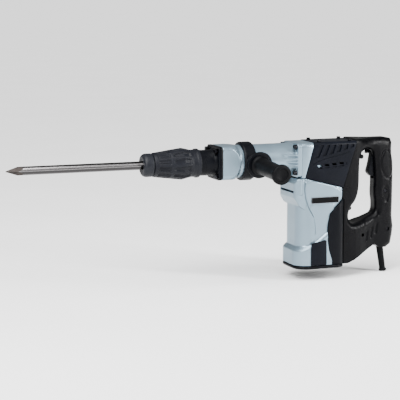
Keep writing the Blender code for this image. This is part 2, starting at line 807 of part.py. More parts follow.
def make_motor():
    shaft_profile = [(12.0, 0.0), (12.0, 6.0), (184.0, 6.0), (184.0, 0.0)]
    shaft = turned("armature_shaft", shaft_profile)
    turn = 180.0 / PINION_TEETH
    pinion = slab("pinion", [gear_outline(PINION_TEETH, GEAR_MODULE, turn)], 180.0, GEAR_Z[1], "Z")
    add(shaft, pinion)
    finish(shaft, "armature_shaft", "ground_steel")
    core_profile = [(80, 6.3), (80, 28.4), (128, 28.4), (128, 6.3)]
    core = finish(turned("armature_core", core_profile, ring=True), "armature_core", "copper")
    commutator_profile = [(42, 6.3), (42, 17), (60, 17), (60, 20), (64, 20), (64, 6.3)]
    commutator = finish(turned("commutator", commutator_profile, ring=True), "commutator", "copper")
    fan_profile = [(140, 6.3), (140, 14), (142, 40), (144, 40), (146, 14), (156, 12), (156, 6.3)]
    fan = turned("cooling_fan", fan_profile, ring=True)
    for number in range(8):
        blade = block(f"fan_blade_{number}", (12.0, -0.8, 143.0), (38.5, 0.8, 154.0))
        blade.rotation_euler = (0.0, 0.0, math.pi * number / 4)
        add(fan, blade)
    finish(fan, "cooling_fan", "black_plastic")
    hang_on("motor_axis", (0, 0, 100), [shaft, core, commutator, fan])
    stator = turned("stator_core", [(78, 29.5), (78, 42.6), (130, 42.6), (130, 29.5)], ring=True)
    finish(stator, "stator_core", "dark_steel")
    for name, side in (("carbon_brush_left", 1), ("carbon_brush_right", -1)):
        low, high = sorted((side * 17.4, side * 44.0))
        finish(block(name, (-3.2, low, 46.0), (3.2, high, 58.0)), name, "carbon")


# Main handle


def handle_outline():
    return [
        (-86.9, 280.5),
        (-53.4, 177.2),
        (-53.4, 175.8),
        (-48.5, 175.8),
        (-48.5, 150.8),
        (HANDLE_FRONT_X, 150.8),
        (HANDLE_FRONT_X, 5.0),
        (-72.0, 5.0),
        (-82.0, 10.0),
        (-144.5, 41.0),
        (-152.8, 33.3),
        (-179.0, 32.2),
        (-190.0, 41.0),
        (-194.5, 78.0),
        (-191.0, 103.0),
        (-191.5, 134.0),
        (-191.5, 200.0),
        (-189.5, 227.0),
        (-186.5, 254.0),
        (-187.0, 270.0),
        (-182.0, 278.5),
        (-168.0, 281.5),
    ]


def loop_outline():
    return [
        (-99.5, 231.0),
        (-105.5, 246.5),
        (-116.0, 253.5),
        (-131.0, 254.5),
        (-138.0, 249.0),
        (-143.5, 185.0),
        (-141.5, 155.0),
        (-145.0, 136.0),
        (-143.5, 117.0),
        (-134.0, 107.5),
        (-94.0, 93.0),
        (-81.0, 94.5),
        (-73.0, 104.0),
        (-73.0, 117.0),
        (-77.5, 130.0),
        (-88.0, 139.0),
        (-99.5, 166.0),
    ]


def handle_half(name, side):
    """One clamshell of the D-handle, split on the middle plane."""
    outer = handle_outline()
    low, high = sorted((side * 0.15, side * 38.0))
    half = slab(name, [outer, loop_outline()], low, high, "Y")
    plan = [(-40.0, -5.0), (-40.0, 38.0), (-88.0, 37.0), (-150.0, 22.0), (-200.0, 20.0), (-200.0, -5.0)]
    if side < 0:
        plan = [(x, -y) for x, y in plan]
    keep(half, slab(f"{name}_plan", [plan], -10.0, 300.0, "Z"))
    round_edges(half, 5.0, 2, 35.0)
    return half


def make_handle():
    knob_room = [(240.0, 0.0), (240.0, 5.0), (257.5, 5.0), (257.5, 2.8), (270.0, 2.8), (270.0, 0.0)]
    wire_room = [(50.0, 0.0), (50.0, 7.0), (200.0, 7.0), (200.0, 0.0)]
    cord_room = [(-2.0, 0.0), (-2.0, 8.4), (60.0, 8.4), (60.0, 0.0)]
    post_room = [
        (-90, 268),
        (-60, 172),
        (-60, 20),
        (-68, 20),
        (-68, 120),
        (-93, 165),
        (-94, 235),
        (-104, 262),
        (-104, 270),
    ]
    down = Vector(GUARD_END) - Vector(GUARD_TOP)
    for name, side in (("handle_left", 1), ("handle_right", -1)):
        half = handle_half(name, side)
        inside = -side * 1.0
        low, high = sorted((inside, side * 16.0))
        cut(half, block(f"{name}_switch_room", (-176.0, low, 196.0), (-150.0, high, 262.0)))
        low, high = sorted((inside, side * 8.6))
        cut(half, block(f"{name}_trigger_room", (-158.0, low, 188.0), (-128.0, high, 258.0)))
        cut(
            half,
            turned(f"{name}_cord_room", cord_room, GUARD_TOP, down, steps=16),
            turned(f"{name}_wire_room", wire_room, (-166.0, 0, 0), steps=16),
            turned(f"{name}_button_room", knob_room, (LOCK_X, 0, 0), steps=SMALL_STEPS),
        )
        low, high = sorted((inside, side * 26.0))
        cut(half, slab(f"{name}_front_room", [post_room], low, high, "Y"))
        finish(half, name, "black_plastic")


def make_trigger():
    px, _, pz = TRIGGER_PIVOT
    outline = [
        (px + 3.0, pz + 4.0),
        (px - 4.0, pz + 4.0),
        (-155.0, 244.0),
        (-152.0, 205.0),
        (-146.0, 194.0),
        (-139.0, 191.0),
        (-128.5, 203.0),
        (-129.5, 206.0),
        (-136.5, 240.0),
        (-139.0, 249.0),
    ]
    trigger = slab("trigger", [outline], -8.2, 8.2, "Y")
    round_edges(trigger, 1.6, 1, 50.0)
    finish(trigger, "trigger", "black_plastic")
    hang_on("trigger_axis", TRIGGER_PIVOT, [trigger])
    switch = block("switch_body", (-175.5, -14.5, 200.0), (-162.0, 14.5, 250.0))
    finish(switch, "switch_body", "carbon")
    knob = [
        (245.0, 0.0),
        (245.0, 3.4),
        (246.0, 4.3),
        (251.5, 4.3),
        (252.5, 3.4),
        (252.5, 2.3),
        (264.0, 2.3),
        (264.0, 0.0),
    ]
    finish(turned("lock_button", knob, (LOCK_X, 0, 0), steps=SMALL_STEPS), "lock_button", "black_plastic")


def make_cord_guard():
    start, end = Vector(GUARD_TOP), Vector(GUARD_END)
    length = (end - start).length
    profile = [
        (0.0, 4.8),
        (0.0, 8.0),
        (24.0, 8.0),
        (length - 4.0, 6.8),
        (length - 3.5, 8.3),
        (length, 8.3),
        (length, 4.8),
    ]
    guard = turned("cord_guard", profile, GUARD_TOP, end - start, ring=True, steps=16)
    finish(guard, "cord_guard", "black_rubber")


# Side handle


def make_side_handle():
    back, front = BAND_X
    band_profile = [
        (back, BAND_BORE_R),
        (back, BAND_R - 3.0),
        (back + 4.0, BAND_R),
        (front - 4.0, BAND_R),
        (front, BAND_R - 3.0),
        (front, BAND_BORE_R),
    ]
    band = on_axis("side_handle_band", band_profile, ring=True)
    disc, end = Vector(DISC_CENTRE), Vector(GRIP_END)
    toward = (end - disc).normalized()
    boss_profile = [(-16.0, 0.0), (-16.0, 20.0), (-7.0, 23.0), (-3.0, DISC_R), (2.0, DISC_R), (2.0, 0.0)]
    boss = turned("band_boss", boss_profile, disc, toward)
    barrel_room = [(100.0, 0.0), (100.0, BAND_BORE_R), (260.0, BAND_BORE_R), (260.0, 0.0)]
    cut(boss, on_axis("barrel_room", barrel_room))
    add(band, boss)
    hole_r = STUD_R + 0.4
    stud_room = [(-40.0, 0.0), (-40.0, hole_r), (10.0, hole_r), (10.0, 0.0)]
    cut(band, turned("stud_room", stud_room, disc, toward, steps=16))
    finish(band, "side_handle_band", "black_plastic")
    length = (end - disc).length
    grip_profile = [
        (-8.0, 0.0),
        (-8.0, STUD_R),
        (2.4, STUD_R),
        (2.4, 20.0),
        (6.0, 20.0),
        (9.0, GRIP_R),
        (length - 14.0, GRIP_R - 0.5),
        (length - 9.0, GRIP_CAP_R),
        (length - 2.0, GRIP_CAP_R),
        (length, GRIP_CAP_R - 2.5),
        (length, 9.0),
        (length - 3.0, 7.0),
        (length - 3.0, 0.0),
    ]
    grip = turned("side_handle_grip", grip_profile, disc, toward)
    finish(grip, "side_handle_grip", "black_rubber")
    hang_on("side_handle_axis", (BAND_X[0], 0, AXIS_Z), [band, grip])


def main():
    make_bit()
    make_front_cap()
    make_sleeve()
    make_lock_parts()
    make_holder()
    make_sleeve_spring()
    make_front_cover()
    make_cylinder_case()
    make_bolts()
    make_percussion()
    make_crank()
    make_bearings()
    make_crank_case()
    make_crank_cover()
    make_motor_housing()
    make_rear_cover()
    make_tail_cover()
    make_side_panels()
    make_motor()
    make_handle()
    make_trigger()
    make_cord_guard()
    make_side_handle()


clear_scene()
PARTS = new_collection("demolition_hammer")
CUTTERS = new_collection("cutters", hidden=True)
main()
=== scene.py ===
"""Looks of the demolition hammer: its visible shells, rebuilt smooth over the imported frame, and every finish.

Shapes are drawn in millimetres in the frame's own axes: +X toward the bit's point, +Y to the side
handle, +Z up.
"""

import json
import math

import bmesh
import bpy
import numpy as np
from mathutils import Matrix, Vector


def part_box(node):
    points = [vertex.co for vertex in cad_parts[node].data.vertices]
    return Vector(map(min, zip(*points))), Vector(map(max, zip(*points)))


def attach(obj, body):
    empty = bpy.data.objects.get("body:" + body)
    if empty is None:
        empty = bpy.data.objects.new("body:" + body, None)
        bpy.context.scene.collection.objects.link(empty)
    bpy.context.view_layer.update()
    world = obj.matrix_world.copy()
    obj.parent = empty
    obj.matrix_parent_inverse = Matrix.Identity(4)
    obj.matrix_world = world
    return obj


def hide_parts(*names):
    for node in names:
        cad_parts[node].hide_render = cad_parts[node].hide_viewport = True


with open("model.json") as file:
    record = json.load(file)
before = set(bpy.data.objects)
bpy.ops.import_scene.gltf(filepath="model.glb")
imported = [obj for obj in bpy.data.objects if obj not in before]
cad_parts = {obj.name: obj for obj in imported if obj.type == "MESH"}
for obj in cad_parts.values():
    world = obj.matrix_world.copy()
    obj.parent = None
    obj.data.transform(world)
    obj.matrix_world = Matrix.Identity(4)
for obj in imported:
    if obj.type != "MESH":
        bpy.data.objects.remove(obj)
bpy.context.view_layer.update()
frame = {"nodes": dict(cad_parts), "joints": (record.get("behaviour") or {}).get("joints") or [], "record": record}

MM = 0.001
GAP = 0.3
NODES = frame["nodes"]
BODY_OF = {node: body for body, nodes in frame["record"]["behaviour"]["bodies"].items() for node in nodes}
SLOT_OF = {entry["node"]: entry["material_slot"] for entry in frame["record"]["subparts"]}
TOOLS = []


def span(node):
    """The node's box at rest, in millimetres: (low corner, high corner)."""
    low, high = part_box(node)
    return low / MM, high / MM


LINER = span("cylinder_liner")
AXIS_Z = (LINER[0].z + LINER[1].z) / 2
BIT_LOW, BIT_HIGH = span("chisel_bit")
CAP_LOW, CAP_HIGH = span("front_cap")
SLEEVE_LOW, SLEEVE_HIGH = span("grip_sleeve")
COVER_LOW, COVER_HIGH = span("front_cover")
CASE_LOW, CASE_HIGH = span("cylinder_case")
CRANK_LOW, CRANK_HIGH = span("crank_case")
SHELL_HIGH = span("crank_cover")[1]
HOUSING_LOW, HOUSING_HIGH = span("motor_housing")
REAR_LOW, REAR_HIGH = span("rear_cover")
TAIL_LOW, TAIL_HIGH = span("tail_cover")
BAND_LOW = span("side_handle_band")[0]
GUARD_LOW = span("cord_guard")[0]
BARREL_R = 35.5
BAND_R = AXIS_Z - BAND_LOW.z
BAND_BACK, BAND_FRONT = 153.0, 180.5
FLANGE_FACE = 239.0
TRIGGER_PIVOT = Vector(next(j["pos_m"] for j in frame["joints"] if j["name"] == "trigger_pull")) / MM
GRIP_JOINT = next(j for j in frame["joints"] if j["name"] == "side_grip_screw")
DISC = Vector(GRIP_JOINT["pos_m"]) / MM
GRIP_WAY = Vector(GRIP_JOINT["axis"])
GRIP_LENGTH = 113.3


# Shape building


def place(mesh, name):
    obj = bpy.data.objects.new(name, mesh)
    bpy.context.scene.collection.objects.link(obj)
    return obj


def along(axis, low):
    if axis == "X":
        turn = Matrix(((0, 0, 1), (1, 0, 0), (0, 1, 0))).to_4x4()
    elif axis == "Y":
        turn = Matrix(((1, 0, 0), (0, 0, 1), (0, 1, 0))).to_4x4()
    else:
        turn = Matrix.Identity(4)
    return turn @ Matrix.Translation((0, 0, low * MM))


def slab(name, loops, low, high, axis):
    """A flat outline, with any holes after it, extruded along X (drawn in YZ), Y (in XZ) or Z (in XY)."""
    curve = bpy.data.curves.new(name, "CURVE")
    curve.dimensions = "2D"
    curve.fill_mode = "BOTH"
    curve.extrude = (high - low) / 2 * MM
    for loop in loops:
        spline = curve.splines.new("POLY")
        spline.points.add(len(loop) - 1)
        for point, (u, v) in zip(spline.points, loop):
            point.co = (u * MM, v * MM, 0.0, 1.0)
        spline.use_cyclic_u = True
    source = bpy.data.objects.new(name, curve)
    mesh = bpy.data.meshes.new_from_object(source)
    bpy.data.objects.remove(source)
    mesh.transform(along(axis, (low + high) / 2))
    shape = bmesh.new()
    shape.from_mesh(mesh)
    bmesh.ops.remove_doubles(shape, verts=shape.verts, dist=1e-6)
    bmesh.ops.dissolve_limit(shape, angle_limit=0.001, verts=shape.verts, edges=shape.edges)
    bmesh.ops.recalc_face_normals(shape, faces=shape.faces)
    shape.to_mesh(mesh)
    shape.free()
    return place(mesh, name)


def block(name, low, high):
    (x0, y0, z0), (x1, y1, z1) = low, high
    return slab(name, [[(x0, y0), (x1, y0), (x1, y1), (x0, y1)]], z0, z1, "Z")


def turned(name, profile, origin=(0.0, 0.0, 0.0), toward=(0, 0, 1), ring=False, steps=96):
    """A turned shape. The profile lists (distance along the axis, radius); ring closes it into a tube."""
    pairs = zip(profile, profile[1:] + profile[:1])
    area = sum(a[1] * b[0] - b[1] * a[0] for a, b in pairs)
    ordered = profile[::-1] if area > 0 else profile
    mesh = bpy.data.meshes.new(name)
    shape = bmesh.new()
    points = [shape.verts.new((radius * MM, 0.0, distance * MM)) for distance, radius in ordered]
    for first, second in zip(points, points[1:]):
        shape.edges.new((first, second))
    if ring:
        shape.edges.new((points[-1], points[0]))
    shape.to_mesh(mesh)
    shape.free()
    obj = place(mesh, name)
    obj.location = Vector(origin) * MM
    obj.rotation_euler = Vector(toward).to_track_quat("Z", "Y").to_euler()
    screw = obj.modifiers.new("Turn", "SCREW")
    screw.steps = steps
    screw.render_steps = steps
    screw.use_merge_vertices = True
    screw.merge_threshold = 0.00001
    return obj


def rod(low, high, radius):
    """The profile of a plain round bar."""
    return [(low, 0.0), (low, radius), (high, radius), (high, 0.0)]


def on_axis(name, profile, **options):
    return turned(name, profile, (0.0, 0.0, AXIS_Z), (1, 0, 0), **options)


def pill(name, start, end, radius, depth_axis="Y", low=-60.0, high=60.0):
    """A slot with round ends, from start to end in the drawing plane, extruded through."""
    way = Vector(end) - Vector(start)
    turn = math.atan2(way.y, way.x)
    points = []
    for centre, offset in ((end, -math.pi / 2), (start, math.pi / 2)):
        for step in range(9):
            angle = turn + offset + math.pi * step / 8
            points.append((centre[0] + radius * math.cos(angle), centre[1] + radius * math.sin(angle)))
    return slab(name, [points], low, high, depth_axis)


def round_edges(obj, width, segments=3, angle=30.0):
    bevel = obj.modifiers.new("Rounding", "BEVEL")
    bevel.width = width * MM
    bevel.segments = segments
    bevel.limit_method = "ANGLE"
    bevel.angle_limit = math.radians(angle)
    return obj


def combine(target, tools, operation):
    for tool in tools:
        modifier = target.modifiers.new(operation.title(), "BOOLEAN")
        modifier.operation = operation
        modifier.solver = "EXACT"
        modifier.object = tool
        tool.hide_render = True
        TOOLS.append(tool)
    return target


def add(target, *tools):
    return combine(target, tools, "UNION")


def cut(target, *tools):
    return combine(target, tools, "DIFFERENCE")


def keep(target, *tools):
    return combine(target, tools, "INTERSECT")


def soften(obj, voxel, passes):
    """Melts the edges together, as a casting's or a moulding's are."""
    remesh = obj.modifiers.new("Melt", "REMESH")
    remesh.mode = "VOXEL"
    remesh.voxel_size = voxel * MM
    relax = obj.modifiers.new("Relax", "SMOOTH")
    relax.factor = 0.5
    relax.iterations = passes
    return obj


def settle(obj, angle=34.0):
    """Applies the modifiers, drops the tools, and shades smooth but for the sharp edges."""
    bpy.context.view_layer.update()
    graph = bpy.context.evaluated_depsgraph_get()
    mesh = bpy.data.meshes.new_from_object(obj.evaluated_get(graph), depsgraph=graph)
    mesh.transform(obj.matrix_world)
    obj.modifiers.clear()
    obj.data = mesh
    obj.location = (0.0, 0.0, 0.0)
    obj.rotation_euler = (0.0, 0.0, 0.0)
    while TOOLS:
        bpy.data.objects.remove(TOOLS.pop())
    mesh.polygons.foreach_set("use_smooth", [True] * len(mesh.polygons))
    mesh.set_sharp_from_angle(angle=math.radians(angle))
    return obj


def stand_for(obj, node, finish, name=None):
    """The piece takes the CAD node's place and body, and gets the given finish."""
    obj.name = name or f"{node}_shell"
    obj.data.materials.clear()
    obj.data.materials.append(finish)
    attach(obj, BODY_OF[node])
    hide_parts(node)
    return obj


def detail(obj, body, finish):
    obj.data.materials.clear()
    obj.data.materials.append(finish)
    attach(obj, body)
    return obj


def arc(u, v, radius, start, end, steps=8):
    angles = [math.radians(start + (end - start) * i / steps) for i in range(steps + 1)]
    return [(u + radius * math.cos(a), v + radius * math.sin(a)) for a in angles]


def rounded(u0, u1, v0, v1, radii, steps=8):
    r0, r1, r2, r3 = radii
    return (
        arc(u0 + r0, v0 + r0, r0, 180, 270, steps)
        + arc(u1 - r1, v0 + r1, r1, 270, 360, steps)
        + arc(u1 - r2, v1 - r2, r2, 0, 90, steps)
        + arc(u0 + r3, v1 - r3, r3, 90, 180, steps)
    )


def smooth_loop(points, rounds=3):
    """A closed outline with its corners cut off again and again, so that it runs as a curve."""
    for _ in range(rounds):
        fresh = []
        for (x0, y0), (x1, y1) in zip(points, points[1:] + points[:1]):
            fresh.append((0.75 * x0 + 0.25 * x1, 0.75 * y0 + 0.25 * y1))
            fresh.append((0.25 * x0 + 0.75 * x1, 0.25 * y0 + 0.75 * y1))
        points = fresh
    return points


# Finishes


class Finish:
    """A Principled material whose colour, gloss and relief vary over the surface."""

    def __init__(self, name, metallic=0.0, coat=0.0, specular=0.5):
        self.material = bpy.data.materials.new(name)
        self.material.use_nodes = True
        self.nodes = self.material.node_tree.nodes
        self.links = self.material.node_tree.links
        self.shader = self.nodes["Principled BSDF"]
        self.shader.inputs["Metallic"].default_value = metallic
        self.shader.inputs["Coat Weight"].default_value = coat
        self.shader.inputs["Specular IOR Level"].default_value = specular
        self.place = self.nodes.new("ShaderNodeTexCoord").outputs["Object"]
        self.height = None

    def stretched(self, scale):
        mapping = self.nodes.new("ShaderNodeMapping")
        mapping.inputs["Scale"].default_value = scale
        self.links.new(self.place, mapping.inputs["Vector"])
        return mapping.outputs["Vector"]

    def noise(self, scale, detail_level=3.0, vector=None):
        node = self.nodes.new("ShaderNodeTexNoise")
        node.inputs["Scale"].default_value = scale
        node.inputs["Detail"].default_value = detail_level
        self.links.new(vector or self.place, node.inputs["Vector"])
        return node.outputs["Fac"]

    def pebbles(self, scale):
        node = self.nodes.new("ShaderNodeTexVoronoi")
        node.inputs["Scale"].default_value = scale
        self.links.new(self.place, node.inputs["Vector"])
        return node.outputs["Distance"]

    def colour(self, source, dark, light, start=0.35, end=0.65):
        ramp = self.nodes.new("ShaderNodeValToRGB")
        ramp.color_ramp.elements[0].position = start
        ramp.color_ramp.elements[0].color = (*dark, 1.0)
        ramp.color_ramp.elements[1].position = end
        ramp.color_ramp.elements[1].color = (*light, 1.0)
        self.links.new(source, ramp.inputs["Fac"])
        self.links.new(ramp.outputs["Color"], self.shader.inputs["Base Color"])

    def gloss(self, source, low, high):
        ranged = self.nodes.new("ShaderNodeMapRange")
        ranged.inputs["From Min"].default_value = 0.3
        ranged.inputs["From Max"].default_value = 0.7
        ranged.inputs["To Min"].default_value = low
        ranged.inputs["To Max"].default_value = high
        self.links.new(source, ranged.inputs["Value"])
        self.links.new(ranged.outputs["Result"], self.shader.inputs["Roughness"])

    def relief(self, source, depth_mm, strength=1.0):
        bump = self.nodes.new("ShaderNodeBump")
        bump.inputs["Strength"].default_value = strength
        bump.inputs["Distance"].default_value = depth_mm * MM
        self.links.new(source, bump.inputs["Height"])
        if self.height:
            self.links.new(self.height, bump.inputs["Normal"])
        self.height = bump.outputs["Normal"]
        self.links.new(self.height, self.shader.inputs["Normal"])


def silver_paint():
    paint = Finish("silver_paint", metallic=0.7)
    paint.colour(paint.noise(14.0, 2.0), (0.172, 0.238, 0.288), (0.192, 0.264, 0.318))
    paint.gloss(paint.noise(45.0), 0.3, 0.36)
    paint.relief(paint.noise(900.0, 2.0), 0.03, 0.4)
    return paint.material


def moulded_plastic(name, dark, light, low, high):
    plastic = Finish(name, specular=0.07)
    plastic.colour(plastic.noise(30.0, 4.0), dark, light)
    plastic.gloss(plastic.noise(60.0, 4.0), low, high)
    plastic.relief(plastic.pebbles(1400.0), 0.08, 0.6)
    return plastic.material


def rubber(name, dark, light, specular=0.06):
    soft = Finish(name, specular=specular)
    soft.colour(soft.noise(40.0, 4.0), dark, light)
    soft.gloss(soft.noise(80.0, 4.0), 0.42, 0.56)
    soft.relief(soft.pebbles(900.0), 0.12, 0.6)
    return soft.material


def turned_steel(name, dark, light, low, high, along_axis):
    """Steel with fine marks that run along one axis."""
    steel = Finish(name, metallic=1.0)
    scale = [900.0, 900.0, 900.0]
    scale[along_axis] = 12.0
    marks = steel.noise(1.0, 4.0, steel.stretched(scale))
    steel.colour(steel.noise(25.0, 3.0), dark, light)
    steel.gloss(marks, low, high)
    steel.relief(marks, 0.03, 0.5)
    return steel.material


def painted_reflection_bar():
    """Round bar as rolled and polished, with painted reflections in its colour.

    Darker and lighter stripes run along it by which way the surface faces: painted highlight and painted shade,
    set by the surface normal.
    """
    steel = Finish("painted_reflection_bar", metallic=1.0)
    # Painted light: the base colour follows the surface normal's Z through a ramp, wavered by stretched noise, so
    # a painted highlight stripe and painted shade run along the bar
    normal_for_painted_light = steel.nodes.new("ShaderNodeSeparateXYZ")
    steel.links.new(steel.nodes.new("ShaderNodeTexCoord").outputs["Normal"], normal_for_painted_light.inputs["Vector"])
    streaks = steel.noise(1.0, 3.0, steel.stretched((3.0, 300.0, 300.0)))
    waver = steel.nodes.new("ShaderNodeMath")
    waver.operation = "MULTIPLY_ADD"
    waver.inputs[1].default_value = 0.10
    waver.inputs[2].default_value = 0.45
    steel.links.new(streaks, waver.inputs[0])
    painted_band_position = steel.nodes.new("ShaderNodeMath")
    painted_band_position.operation = "MULTIPLY_ADD"
    painted_band_position.inputs[1].default_value = 0.42
    steel.links.new(normal_for_painted_light.outputs["Z"], painted_band_position.inputs[0])
    steel.links.new(waver.outputs["Value"], painted_band_position.inputs[2])
    ramp = steel.nodes.new("ShaderNodeValToRGB")
    painted_band_stops = (
        (0.1, 0.1),
        (0.2, 0.06),
        (0.3, 0.035),
        (0.42, 0.045),
        (0.47, 0.24),
        (0.6, 0.3),
        (0.68, 0.8),
        (0.74, 0.5),
        (0.8, 0.04),
        (1.0, 0.035),
    )
    elements = ramp.color_ramp.elements
    for number, (position, value) in enumerate(painted_band_stops):
        stop = elements[number] if number < 2 else elements.new(position)
        stop.position = position
        stop.color = (value, value * 0.96, value * 0.97, 1.0)
    steel.links.new(painted_band_position.outputs["Value"], ramp.inputs["Fac"])
    steel.links.new(ramp.outputs["Color"], steel.shader.inputs["Base Color"])
    steel.gloss(streaks, 0.2, 0.32)
    steel.relief(streaks, 0.03, 0.5)
    return steel.material


def forged_point():
    steel = Finish("forged_point", metallic=0.6, specular=0.3)
    steel.colour(steel.noise(60.0, 5.0), (0.012, 0.0095, 0.0085), (0.032, 0.025, 0.022))
    steel.gloss(steel.noise(160.0, 4.0), 0.45, 0.6)
    steel.relief(steel.noise(700.0, 3.0), 0.08, 0.6)
    return steel.material


def dull_metal(name, dark, light, metallic=1.0):
    metal = Finish(name, metallic=metallic)
    metal.colour(metal.noise(80.0, 4.0), dark, light)
    metal.gloss(metal.noise(120.0, 4.0), 0.32, 0.5)
    metal.relief(metal.noise(1200.0, 2.0), 0.04, 0.4)
    return metal.material


SILVER = silver_paint()
BLACK = moulded_plastic("black_plastic", (0.0011, 0.0013, 0.0022), (0.0018, 0.0022, 0.0034), 0.34, 0.46)
HANDLE_BLACK = moulded_plastic(
    "handle_plastic",
    (0.0007, 0.0007, 0.0011),
    (0.0012, 0.0012, 0.0017),
    0.26,
    0.38,
)
COVER_BLACK = moulded_plastic("cover_plastic", (0.0014, 0.0019, 0.0037), (0.0022, 0.0028, 0.0053), 0.38, 0.5)
RUBBER = rubber("black_rubber", (0.0013, 0.0014, 0.0018), (0.0021, 0.0022, 0.0027))
SLEEVE_RUBBER = rubber("sleeve_rubber", (0.0026, 0.003, 0.005), (0.0039, 0.0045, 0.007), 0.14)
CAP_RUBBER = rubber("cap_rubber", (0.0042, 0.0049, 0.0074), (0.006, 0.0069, 0.0098), 0.16)
BRIGHT = turned_steel("bright_steel", (0.56, 0.54, 0.53), (0.66, 0.64, 0.63), 0.16, 0.26, 0)
# The bit's steel, with painted reflection stripes in its colour
BIT_STEEL_PAINTED_REFLECTION = painted_reflection_bar()
GROUND = turned_steel("ground_steel", (0.36, 0.36, 0.37), (0.46, 0.46, 0.47), 0.28, 0.4, 2)
POINT = forged_point()
SCREW_STEEL = dull_metal("black_oxide", (0.008, 0.008, 0.01), (0.022, 0.022, 0.025))
COPPER = dull_metal("copper_winding", (0.45, 0.19, 0.09), (0.68, 0.31, 0.16))
PLATE = moulded_plastic("plate_black", (0.0006, 0.0006, 0.0008), (0.001, 0.001, 0.0012), 0.3, 0.36)
PLATE_RIM = dull_metal("plate_rim", (0.2, 0.2, 0.21), (0.28, 0.28, 0.3))
CARBON = moulded_plastic("carbon", (0.016, 0.016, 0.016), (0.03, 0.03, 0.03), 0.5, 0.7)

CAD_FINISHES = {
    "silver": SILVER,
    "black_plastic": BLACK,
    "black_rubber": RUBBER,
    "bright_steel": BRIGHT,
    "ground_steel": GROUND,
    "dark_steel": SCREW_STEEL,
    "copper": COPPER,
    "carbon": CARBON,
}


def dress_cad_nodes():
    """Every CAD node that stays in view, or inside, gets its slot's finish."""
    for name, obj in NODES.items():
        obj.data.materials.clear()
        obj.data.materials.append(CAD_FINISHES[SLOT_OF[name]])


# Bit and tool holder


def make_bit():
    back, tip = BIT_LOW.x, BIT_HIGH.x
    radius = (BIT_HIGH.z - BIT_LOW.z) / 2
    taper = 38.0
    shank_profile = [(back, 0.0), (back, radius - 1.0), (back + 1.0, radius), (tip, radius), (tip, 0.0)]
    shank = on_axis("shank", shank_profile)
    spread = radius * math.sqrt(2) / taper
    envelope = on_axis(
        "point_envelope",
        [(back - 5, 0.0), (back - 5, 0.8 + spread * (tip - back + 5)), (tip, 0.8), (tip, 0.0)],
        steps=4,
    )
    keep(shank, envelope)
    round_edges(shank, 0.4, 2, 20.0)
    settle(shank, 25.0)
    stand_for(shank, "chisel_bit", BIT_STEEL_PAINTED_REFLECTION)
    shank.data.materials.append(POINT)
    forged_from = (tip - taper - 3.0) * MM
    for face in shank.data.polygons:
        if face.center.x > forged_from:
            face.material_index = 1


def make_front_cap():
    back, nose = CAP_LOW.x, CAP_HIGH.x
    outer = (CAP_HIGH.z - CAP_LOW.z) / 2
    profile = [
        (back, 17.4),
        (back, outer - 1.2),
        (back + 1.0, outer - 0.3),
        (back + 3.0, outer),
        (nose - 9.0, outer),
    ]
    for turn in (0.4, 0.8, 1.15, 1.4, 1.57):
        profile.append((nose - 9.0 + 9.0 * math.sin(turn), outer - 7.0 + 7.0 * math.cos(turn)))
    profile += [(nose - 1.5, 13.0), (nose - 1.5, 9.6), (nose - 5.7, 9.6), (nose - 5.7, 17.4)]
    cap = settle(on_axis("front_cap_turning", profile, ring=True), 50.0)
    stand_for(cap, "front_cap", CAP_RUBBER)


SLEEVE_PROFILE = [
    (0.0, 30.4),
    (1.5, 31.2),
    (6.5, 31.2),
    (8.5, 29.4),
    (16.5, 29.2),
    (20.0, 29.8),
    (25.5, 31.4),
    (37.5, 34.0),
    (42.5, 33.4),
    (70.5, 29.8),
    (97.5, 26.2),
    (101.0, 25.6),
    (102.5, 24.6),
]


def profile_radius(profile, distance):
    for (x0, r0), (x1, r1) in zip(profile, profile[1:]):
        if x0 <= distance <= x1:
            return r0 + (r1 - r0) * (distance - x0) / (x1 - x0)
    return profile[-1][1]


def window(value, start, end, ramp):
    """1 between start and end, falling to 0 over ramp outside them."""
    rise = min(max((value - start) / ramp, 0.0), 1.0)
    fall = min(max((end - value) / ramp, 0.0), 1.0)
    return min(rise, fall)


def sleeve_depth(distance, angle):
    """How far the flutes of the two rows sink below the turned profile."""
    flutes = 12
    phase = (angle * flutes / (2 * math.pi)) % 1.0
    across = window(phase, 0.14, 0.86, 0.10)
    narrow = 0.14 + 0.16 * min(max((distance - 36.0) / 30.0, 0.0), 1.0)
    across_rear = window(phase, narrow, 1.0 - narrow, 0.09)
    rear = window(distance, 22.0, 62.0, 4.0) * across_rear * 3.4
    front = window(distance, 67.0, 95.0, 1.6) * across * 2.6
    ridge_phase = (phase * 3.0) % 1.0
    ribs = window(distance, 70.0, 92.0, 1.5) * window(ridge_phase, 0.3, 0.7, 0.15) * across * 1.6
    return rear + front - ribs


